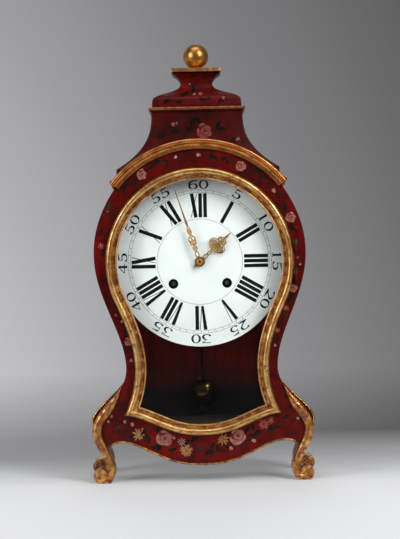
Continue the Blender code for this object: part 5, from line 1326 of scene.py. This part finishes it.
def hub_ring(radius, hole, hole_corners):
    """Round hub with its hole."""
    return [arc_points(0, 0, radius, radius, 0, 360, 48)[:-1],
            arc_points(0, 0, hole, hole, 0, 360, hole_corners)[:-1]]


def mirrored(half):
    """Closed outline from its right half, which runs from bottom to top."""
    return half + [(-u, v) for u, v in reversed(half) if u > 0]


def pierced_hand(name, blades, scrolls, degrees, y_back):
    """Hand from flat blades, which may have a hole, and from scroll lines of one thickness."""
    pieces = []
    for outlines in blades:
        turned = [turned_to(outline, degrees) for outline in outlines]
        pieces.append(sawn(name + "_blade", turned, y_back - HAND_THICK, y_back, HAND_EASE))
    lines = []
    for scroll in scrolls:
        lines.append([(x, y_back - HAND_THICK / 2, z) for x, z in turned_to(scroll, degrees)])
    pieces.append(rolled(name + "_lines", lines, SCROLL_WIRE, 2))
    return joined(name, pieces)


hub = hub_ring(HOUR_HUB, HOUR_HOLE, 32)
tail = [mirrored([(0.0, -0.0126), (0.0009, -0.0096), (0.0030, -0.0064)])]
tip = [mirrored([(0.0006, 0.0468), (0.0017, 0.0490), (0.0011, 0.0535), (0.0006, 0.0578), (0.0, 0.0590)])]
beads = [[loop(0, v, 0.0011, 0.0007)[:-1]] for v in (0.0148, 0.0203)]
head = smooth_line(((0.0, 0.0240), (0.0058, 0.0252), (0.0114, 0.0300), (0.0112, 0.0362), (0.0064, 0.0388),
                    (0.0058, 0.0436), (0.0022, 0.0462), (0.0, 0.0476)), 6)
scrolls = [head, [(-u, v) for u, v in head]]
scrolls += [loop(0, 0.0108, 0.0026, 0.0036), loop(0, 0.0176, 0.0018, 0.0026), loop(0, 0.0222, 0.0014, 0.0018)]
scrolls += [loop(0, 0.0335, 0.0022, 0.0054), loop(0, 0.0335, 0.0009, 0.0026), loop(0, 0.0428, 0.0012, 0.0030)]
for side in (-1, 1):
    scrolls += [loop(side * 0.0066, 0.0316, 0.0036, 0.0042), loop(side * 0.0066, 0.0316, 0.0017, 0.0021)]
    scrolls += [loop(side * 0.0034, 0.0412, 0.0019, 0.0026), loop(side * 0.0032, 0.0270, 0.0016, 0.0018)]
hour_hand = pierced_hand("hour_hand_pierced", [hub, tail, tip] + beads, scrolls, HOUR_DEG, HOUR_BACK_Y)

hub = hub_ring(MINUTE_HUB, MINUTE_HOLE, 28)
needle = [mirrored([(0.0005, 0.0506), (0.0014, 0.0530), (0.0017, 0.0560), (0.0011, 0.0680), (0.0007, 0.0880),
                    (0.0005, 0.1045), (0.0, 0.1060)])]
beads = [[loop(0, v, 0.0013, 0.0008)[:-1]] for v in (0.0152, 0.0245, 0.0388)]
scrolls = [loop(0, 0.0108, 0.0024, 0.0036), loop(0, 0.0198, 0.0028, 0.0038), loop(0, 0.0316, 0.0044, 0.0063)]
scrolls += [loop(0, 0.0430, 0.0023, 0.0036), loop(0, 0.0488, 0.0016, 0.0020), loop(0, 0.0198, 0.0011, 0.0016)]
scrolls += [[(-0.0029, 0.0462), (0.0, 0.0468), (0.0029, 0.0462)], loop(0, 0.0430, 0.0009, 0.0016)]
for side in (-1, 1):
    scrolls += [loop(side * 0.0021, 0.0332, 0.0018, 0.0030), loop(side * 0.0015, 0.0278, 0.0014, 0.0020)]
    curl_points = ((side * 0.0008, 0.0250), (side * 0.0034, 0.0262), (side * 0.0042, 0.0240))
    scrolls.append(smooth_line(curl_points, 6))
minute_hand = pierced_hand("minute_hand_pierced", [hub, needle] + beads, scrolls, MINUTE_DEG, MINUTE_BACK_Y)
hand_gilt = metal_finish("hand_gilt", (0.46, 0.25, 0.055), (0.22, 0.11, 0.022), 0.36, 0.52, 420.0)
finish(hour_hand, hand_gilt, "hour_work", "gilt_brass", "hour_hand")
finish(minute_hand, hand_gilt, "minute_work", "gilt_brass", "minute_hand")

# Hand collet
# A turned brass cap that holds the minute hand on its square.
COLLET_RADIUS = 0.0042
COLLET_BORE = 0.0018
COLLET_BACK_Y = -0.0574
COLLET_FRONT_Y = -0.0589
COLLET_ROUND = 0.0011
profile = [(COLLET_BORE, COLLET_BACK_Y), (COLLET_RADIUS - 0.0001, COLLET_BACK_Y)]
profile += arc_points(COLLET_RADIUS - COLLET_ROUND, COLLET_BACK_Y - 0.0004, COLLET_ROUND, COLLET_ROUND,
                      0, -80, 8)
profile += [(COLLET_BORE + 0.0004, COLLET_FRONT_Y), (COLLET_BORE, COLLET_FRONT_Y + 0.0002)]
collet = turned_piece("collet_cap", profile, 0.0, DIAL_Z)
clean_brass = metal_finish("clean_brass", (0.74, 0.47, 0.15), (0.46, 0.26, 0.07), 0.38, 0.55, 240.0)
finish(collet, clean_brass, "minute_work", "polished_brass", "hand_collet")

# Movement
# Two brass plates on pillars, with the going train on the right and the striking train on the left.
# Plates and wheels are stoned and polished along one direction, steel is polished and blued by heat.
plate_brass = metal_finish("plate_brass", (0.60, 0.41, 0.15), (0.34, 0.21, 0.07), 0.20, 0.40, 120.0,
                           (1.0, 1.0, 0.08))
wheel_brass = metal_finish("wheel_brass", (0.66, 0.46, 0.17), (0.42, 0.27, 0.09), 0.16, 0.32, 200.0)
blued = metal_finish("blued_steel", (0.060, 0.075, 0.125), (0.025, 0.028, 0.050), 0.16, 0.32, 260.0)
spring_steel = metal_finish("spring_steel", (0.22, 0.22, 0.24), (0.08, 0.08, 0.10), 0.18, 0.34, 300.0,
                            (0.1, 1.0, 1.0))
bright_steel = metal_finish("bright_steel", (0.34, 0.34, 0.35), (0.16, 0.16, 0.17), 0.20, 0.36, 300.0)
cast_bell = metal_finish("bell_bronze", (0.52, 0.40, 0.22), (0.30, 0.22, 0.11), 0.16, 0.34, 90.0,
                         (1.0, 1.0, 6.0))
old_bob = metal_finish("bob_brass", (0.20, 0.125, 0.045), (0.075, 0.045, 0.018), 0.15, 0.26, 110.0)
movement_metals = (
    (plate_brass, ("front_plate", "back_plate", "back_cock")),
    (wheel_brass, ("going_barrel", "strike_barrel", "going_second_wheel", "strike_second_wheel",
                   "centre_wheel", "third_wheel", "escape_wheel", "minute_wheel", "hour_wheel", "pin_wheel")),
    (blued, ("going_ratchet", "strike_ratchet", "going_click", "strike_click", "cannon_pinion", "anchor",
             "pendulum_rod", "fly", "hammer", "bell_stand")),
    (bright_steel, ("going_winding_arbor", "strike_winding_arbor")),
    (spring_steel, ("going_mainspring", "strike_mainspring", "suspension_spring")),
    (cast_bell, ("bell",)),
    (old_bob, ("rating_nut",)),
)
for metal, names in movement_metals:
    for name in names:
        recoated(name, metal)

# Pendulum bob
# A lens of two spun brass shells soldered together at the rim and filled with lead. It hangs on the rod
# over the rating nut, and its brass has gone brown.
BOB_RADIUS = 0.0187
BOB_BULGE = 0.0072
BOB_RIM = 0.0009
BOB_EYE = 0.0002
bob_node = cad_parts["pendulum_bob"]
corners = [bob_node.matrix_world @ Vector(corner) for corner in bob_node.bound_box]
bob_spot = sum(corners, Vector()) / len(corners)
shell = []
for radius in spread(BOB_EYE, BOB_RADIUS, 15):
    shell.append((radius, BOB_RIM + (BOB_BULGE - BOB_RIM) * (1 - (radius / BOB_RADIUS) ** 2)))
profile = [(radius, bob_spot.y - swell) for radius, swell in shell]
profile += [(radius, bob_spot.y + swell) for radius, swell in reversed(shell)]
bob_lens = turned_piece("bob_lens", profile, bob_spot.x, bob_spot.z, 64)
finish(bob_lens, old_bob, "pendulum", "polished_brass", "pendulum_bob")

# Back screws
# Nine round-headed steel screws with a slot hold the back board to the sides and the roof.
SCREW_RADIUS = 0.0042
SCREW_HIGH = 0.0016
SCREW_EYE = 0.0001
SLOT_HALF = 0.00045
SCREW_SPOTS = ((0.140, 0.076, 20), (-0.140, 0.076, 75), (0.0935, 0.165, 130), (-0.0935, 0.165, 10),
               (0.134, 0.315, 60), (-0.134, 0.315, 100), (0.085, 0.428, 35), (-0.085, 0.428, 150),
               (0.0, 0.458, 85))
heads = []
for x, z, degrees in SCREW_SPOTS:
    dome = arc_points(SCREW_EYE, CASE_BACK_Y, SCREW_RADIUS, SCREW_HIGH, 0, 90, 8)
    head = turned_piece("screw_head", dome + [(SCREW_EYE, CASE_BACK_Y)], x, z, 28)
    a = math.radians(degrees)
    along = Vector((math.cos(a), math.sin(a))) * SCREW_RADIUS * 1.2
    across = Vector((-math.sin(a), math.cos(a))) * SLOT_HALF
    slot_line = []
    for end, edge in ((1, 1), (-1, 1), (-1, -1), (1, -1)):
        slot_line.append(tuple(Vector((x, z)) + along * end + across * edge))
    slot_core = sawn("slot_core", [slot_line], CASE_BACK_Y + SCREW_HIGH / 2, CASE_BACK_Y + 0.004)
    heads.append(cut_away(head, slot_core, "screw_head"))
finish(joined("back_screws", heads), spring_steel, "case", "blued_steel")

# Painted flowers
# Sprays of roses, daisies, buds and leaves, painted by hand in oil colours on the lacquer. Each brush
# stroke is a thin film of paint, a little raised along its middle, that has dulled and worn with age.
STROKE_LIFT = 0.00006
STROKE_STEP = 0.000018
STROKE_RISE = 0.00009
STEM_WIDE = 0.0009
WORN_PAINT = (0.06, 0.012, 0.010)
PIGMENTS = {
    "rose": ((0.40, 0.145, 0.115), (0.26, 0.078, 0.064)),
    "pale": ((0.52, 0.255, 0.195), (0.35, 0.15, 0.115)),
    "deep": ((0.20, 0.034, 0.034), (0.11, 0.016, 0.018)),
    "coral": ((0.46, 0.105, 0.068), (0.30, 0.055, 0.038)),
    "cream": ((0.44, 0.225, 0.100), (0.30, 0.135, 0.052)),
    "yellow": ((0.52, 0.30, 0.09), (0.34, 0.17, 0.05)),
    "white": ((0.46, 0.40, 0.35), (0.30, 0.25, 0.21)),
    "green": ((0.011, 0.010, 0.006), (0.006, 0.006, 0.004)),
    "sage": ((0.040, 0.034, 0.022), (0.020, 0.018, 0.012)),
}


def oil_paint(name, light, dark):
    return aged_finish(name, (420.0, 4.0), [(0.32, dark), (0.66, light)],
                       [((900.0, 3.0), 0.60, 0.70, 0.75, WORN_PAINT)],
                       ((300.0,), 0.3, 0.7, 0.34, 0.56), ((1500.0,), 0.2, 0.0001), Specular_IOR_Level=0.12)


def paint_box(ending, tint):
    """One paint of each kind, with its colours taken down by the tint."""
    box = {}
    for word, tones in PIGMENTS.items():
        light, dark = [tuple(c * t for c, t in zip(tone, tint)) for tone in tones]
        box[word] = oil_paint(word + "_paint" + ending, light, dark)
    return box


paints = paint_box("", (1.0, 1.0, 1.0))
browned_paints = paint_box("_browned", (0.62, 0.36, 0.37))


class Spray:
    """Brush strokes on one surface, which is given as a function from (u, v) to a point."""

    def __init__(self, surface, outward):
        self.surface = surface
        self.outward = Vector(outward)
        self.verts = []
        self.faces = []
        self.paints = []
        self.hand = random.Random(7)
        self.height = 0.0

    def lifted(self, u, v, height):
        small = 0.0005
        here = Vector(self.surface(u, v))
        along = Vector(self.surface(u + small, v)) - here
        up = Vector(self.surface(u, v + small)) - here
        normal = along.cross(up).normalized()
        if normal.dot(self.outward) < 0:
            normal = -normal
        return tuple(here + normal * height)

    def stroke(self, line, wide, paint, blunt=0.7):
        """Stroke along (u, v) points that swells from both ends."""
        first = len(self.verts)
        self.height += STROKE_STEP
        low = STROKE_LIFT + self.height
        last = len(line) - 1
        for i, spot in enumerate(line):
            swell = max(math.sin(math.pi * (0.04 + 0.92 * i / last)), 0.0) ** blunt
            cross = across_line(line, i) * wide / 2 * swell
            self.verts.append(self.lifted(*(Vector(spot) - cross), low))
            self.verts.append(self.lifted(*spot, low + STROKE_RISE))
            self.verts.append(self.lifted(*(Vector(spot) + cross), low))
        for i in range(last):
            k = first + 3 * i
            self.faces += [(k, k + 1, k + 4, k + 3), (k + 1, k + 2, k + 5, k + 4)]
            self.paints += [paint, paint]

    def crescent(self, u, v, radius, middle, reach, wide, paint):
        self.stroke(arc_points(u, v, radius, radius, middle - reach, middle + reach, 9), wide, paint)

    def petal(self, u, v, start, end, degrees, wide, paint):
        a = math.radians(degrees)
        line = [(u + r * math.cos(a), v + r * math.sin(a)) for r in spread(start, end, 6)]
        self.stroke(line, wide, paint, 0.8)

    def rose(self, u, v, radius, turn=0):
        """Broad outer petals round a cup that is set a little to one side."""
        self.height = 0.0
        a = math.radians(turn)
        cup = (u + radius * 0.16 * math.cos(a), v + radius * 0.16 * math.sin(a))
        for k in range(6):
            at = turn + 60 * k + self.hand.uniform(-14, 14)
            size = radius * self.hand.uniform(0.82, 1.12)
            self.crescent(u, v, size * 0.58, at, 44, size * 0.80, "deep" if k == 2 else "rose")
        for k in range(4):
            at = turn + 180 + 70 * (k - 1.5) + self.hand.uniform(-12, 12)
            size = radius * self.hand.uniform(0.85, 1.05)
            self.crescent(u, v, size * 0.84, at, 24, size * 0.26, "pale")
        for k in range(3):
            self.crescent(*cup, radius * 0.54, turn + 180 + 90 * (k - 1), 38, radius * 0.13, "deep")
        for at in (turn + 180, turn):
            self.crescent(*cup, radius * 0.28, at, 100, radius * 0.42, "rose")
        for k in range(3):
            self.crescent(*cup, radius * 0.43, turn + 120 * k + 30, 36, radius * 0.16, "pale")
        self.crescent(*cup, radius * 0.20, turn + 200, 110, radius * 0.13, "deep")
        self.crescent(*cup, radius * 0.08, turn, 80, radius * 0.14, "coral")

    def daisy(self, u, v, radius, petals, paint, heart, turn=0):
        self.height = 0.0
        for k in range(petals):
            at = turn + 360 * k / petals + self.hand.uniform(-7, 7)
            size = radius * self.hand.uniform(0.82, 1.05)
            self.petal(u, v, radius * 0.16, size, at, radius * 0.27, paint)
        for k in range(4):
            self.petal(u, v, 0.0, radius * 0.26, turn + 90 * k + 20, radius * 0.22, heart)

    def bud(self, u, v, radius, degrees, paint):
        self.height = 0.0
        self.petal(u, v, -radius * 1.5, radius * 0.1, degrees, radius * 0.8, "green")
        for lean in (-26, 26, 0):
            self.petal(u, v, -radius * 0.5, radius, degrees + lean, radius * 0.85, paint)

    def leaf(self, u, v, size, degrees, paint="green"):
        self.height = 0.0
        a = math.radians(degrees)
        bow = Vector((-math.sin(a), math.cos(a))) * size * 0.16
        line = []
        for t in spread(-0.5, 0.5, 8):
            spot = Vector((u, v)) + Vector((math.cos(a), math.sin(a))) * size * t + bow * (1 - 4 * t * t)
            line.append(tuple(spot))
        self.stroke(line, size * 0.46, paint, 0.85)
        self.stroke(line[1:-1], size * 0.06, "sage" if paint == "green" else "green")

    def garland(self, stems=(), leaves=(), roses=(), daisies=(), buds=()):
        """Paint a garland from places and sizes in millimetres."""
        for stem in stems:
            self.height = 0.0
            points = [(u / 1000, v / 1000) for u, v in stem]
            self.stroke(smooth_line(points, 8), STEM_WIDE, "green", 0.25)
        for kind, spots in ((self.leaf, leaves), (self.rose, roses), (self.daisy, daisies), (self.bud, buds)):
            for u, v, size, *rest in spots:
                kind(u / 1000, v / 1000, size / 1000, *rest)

    def piece(self, name, box):
        made = mesh_piece(name, self.verts, self.faces)
        names = list(box)
        for word in names:
            made.data.materials.append(box[word])
        for face, paint in zip(made.data.polygons, self.paints):
            face.material_index = names.index(paint)
        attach(made, "case")


# Flowers of the front board
# A garland follows the border over the dial and down both sides, and a longer one crosses the apron.
def on_board(x, z):
    return (x, FRONT_Y, z)


border = Spray(on_board, (0, -1, 0))
border.garland(
    stems=(((-101, 408), (-88, 414), (-66, 431), (-45, 440), (-31, 444)),
           ((2, 447), (24, 445), (45, 438), (70, 428), (92, 414), (108, 392)),
           ((-119, 243), (-113, 226), (-104, 208), (-97, 178)),
           ((136, 296), (128, 262), (118, 236), (105, 206), (102, 194))),
    leaves=((-56, 438, 12, 20), (-64, 434, 10, 205), (-48, 437, 8, -30, "sage"), (-90, 413, 11, 240),
            (-100, 409, 11, 215), (-104, 401, 9, 250), (20, 446, 10, 100), (23, 443, 10, -60),
            (37, 441, 10, 30), (39, 437, 9, -70), (79, 424, 12, -20), (84, 417, 9, 250), (91, 415, 10, -35),
            (108, 389, 10, -60), (120, 374, 12, 80), (125, 347, 12, -80), (131, 341, 9, -60),
            (-132, 346, 10, 80), (-122, 380, 9, 60, "sage"), (-134, 316, 9, -90), (-118, 243, 10, -60),
            (-104, 204, 9, 110), (-96, 183, 11, -70), (-96, 160, 8, -100), (124, 256, 11, -50),
            (121, 248, 10, 240), (129, 272, 9, 70), (108, 213, 10, 60), (103, 196, 11, -100),
            (115, 227, 8, -60, "sage")),
    roses=((-77, 423, 7.8, 20), (59, 432, 7.8, 50), (126, 360, 7.6, 10), (-100, 194, 5.8, 40),
           (127, 263, 6.0, 70)),
    daisies=((-135, 326, 5.2, 7, "rose", "yellow"), (-125, 373, 4.6, 7, "sage", "cream"),
             (117, 236, 5.0, 8, "coral", "cream"), (104, 206, 5.0, 8, "coral", "yellow", 15)),
    buds=((-31, 445, 3.2, 40, "white"), (2, 448, 4.0, 180, "pale"), (104, 396, 4.2, 120, "pale"),
          (-116, 230, 2.8, 120, "coral"), (-109, 221, 2.6, 60, "pale"), (-97, 169, 3.0, -90, "pale"),
          (134, 304, 2.8, 80, "coral"), (137, 295, 2.6, 30, "pale"), (101, 186, 2.8, -90, "pale")))
border.garland(
    stems=(((-128, 86), (-108, 82), (-88, 66), (-66, 58), (-40, 56), (-20, 50)),
           ((10, 40), (27, 52), (47, 56), (75, 66), (95, 76), (128, 83))),
    leaves=((-82, 68, 13, 60), (-78, 60, 14, -70), (-97, 64, 12, 160), (-66, 51, 13, 200), (-60, 73, 12, 60),
            (-62, 47, 11, 230), (-43, 46, 12, 190), (-22, 53, 12, 40), (-29, 47, 10, 220), (-11, 57, 13, 30),
            (-6, 45, 12, -20, "sage"), (9, 38, 14, 10), (14, 48, 11, 60), (20, 46, 10, 120),
            (34, 49, 11, 200), (62, 69, 12, 50), (66, 60, 11, -10), (75, 64, 13, 30), (70, 74, 11, 100),
            (101, 71, 12, 10), (91, 70, 11, -40), (116, 86, 11, 40), (-117, 78, 9, 200, "sage"),
            (-104, 86, 8, 60, "sage"), (-122, 118, 8, 80, "sage"), (120, 112, 8, 100, "sage")),
    roses=((-54, 60, 11.2, 10), (47, 61, 11.8, 60)),
    daisies=((-89, 66, 9.0, 9, "cream", "yellow"), (-24, 43, 9.4, 14, "cream", "coral"),
             (27, 57, 8.8, 9, "cream", "coral", 20), (-30, 55, 6.4, 8, "pale", "coral"),
             (83, 77, 8.0, 11, "coral", "deep"), (93, 82, 5.8, 8, "rose", "yellow", 10)),
    buds=((-130, 84, 2.6, 100, "white"), (-126, 91, 3.2, 70, "coral"), (-107, 83, 3.6, 110, "pale"),
          (-97, 79, 4.0, 95, "pale"), (-40, 60, 3.0, 130, "pale"), (37, 46, 4.0, -60, "cream"),
          (68, 55, 4.2, -20, "pale"), (131, 84, 2.8, 170, "white"), (-84, 73, 2.6, 60, "cream")))
border.piece("board_flowers", paints)


# Flowers of the hood and cap
# One rose with dark leaves on the hood, and a scatter of leaves and buds on the cap.
def on_hood(x, z):
    return (x, hood_front(hood_half(z)), z)


def on_cap(x, z):
    for (half, low), (next_half, high) in zip(cap_line, cap_line[1:]):
        if z <= high:
            share = (z - low) / (high - low)
            return (x, CAP_Y - (half + (next_half - half) * share) * CAP_DEPTH_SHARE, z)
    return (x, CAP_Y - cap_line[-1][0] * CAP_DEPTH_SHARE, z)


hood_spray = Spray(on_hood, (0, -1, 0.3))
hood_spray.garland(
    leaves=((-4, 495, 16, 60), (4, 499, 13, 120), (-10, 488, 13, 170), (30, 490, 13, 60), (34, 484, 12, 0),
            (-32, 481, 13, 20), (-28, 485, 11, 130), (50, 472, 10, 200), (-50, 478, 10, 200)),
    roses=((10, 483, 11.8, 40),),
    buds=((-33, 492, 4.2, 110, "pale"), (55, 470, 4.2, 30, "pale"), (-29, 494, 2.6, 60, "white")))
hood_spray.piece("hood_flowers", browned_paints)
cap_spray = Spray(on_cap, (0, -1, 0.5))
cap_spray.garland(
    leaves=((-8, 550, 9, 110, "sage"), (-3, 548, 8, 30), (-3, 542, 10, 80), (-17, 533, 12, 20),
            (-13, 537, 10, 60), (15, 527, 12, 20), (8, 529, 10, 160), (-41, 524, 12, 30), (34, 525, 9, 60),
            (-24, 526, 11, 190)),
    buds=((4, 536, 4.2, 0, "pale"), (-2, 536, 3.2, 200, "white"), (37, 528, 3.6, 80, "pale"),
          (-9, 551, 2.6, 130, "pale")))
cap_spray.piece("cap_flowers", browned_paints)


# Flowers of the side boards
# The same kind of spray climbs the middle of each side.
def on_side(side):
    def surface(y, z):
        depth = (y - SIDE_FRONT_Y) / (SIDE_BACK_Y - SIDE_FRONT_Y)
        return (side * case_half(z, depth), y, z)

    return surface


for word, side in SIDES:
    climb = Spray(on_side(side), (side, 0, 0))
    climb.garland(
        stems=(((4, 120), (12, 165), (2, 215), (10, 262), (6, 310), (14, 362)),),
        leaves=((18, 180, 17, 50), (-2, 196, 16, 130), (10, 232, 17, 40), (-12, 270, 18, 150),
                (26, 272, 18, 20), (-8, 320, 18, 140), (24, 322, 17, 50), (6, 345, 14, 110),
                (20, 140, 14, 40), (-4, 146, 13, 140), (22, 350, 13, 40)),
        roses=((8, 296, 14.0, 30), (8, 212, 10.0, 70)),
        daisies=((-10, 250, 9.0, 10, "cream", "yellow"), (24, 243, 7.8, 9, "coral", "cream"),
                 (8, 164, 8.0, 10, "cream", "coral")),
        buds=((14, 366, 4.6, 80, "pale"), (-12, 338, 4.2, 120, "coral"), (30, 334, 4.2, 50, "white"),
              (4, 117, 4.2, -90, "pale")))
    climb.piece("side_flowers_" + word, paints)
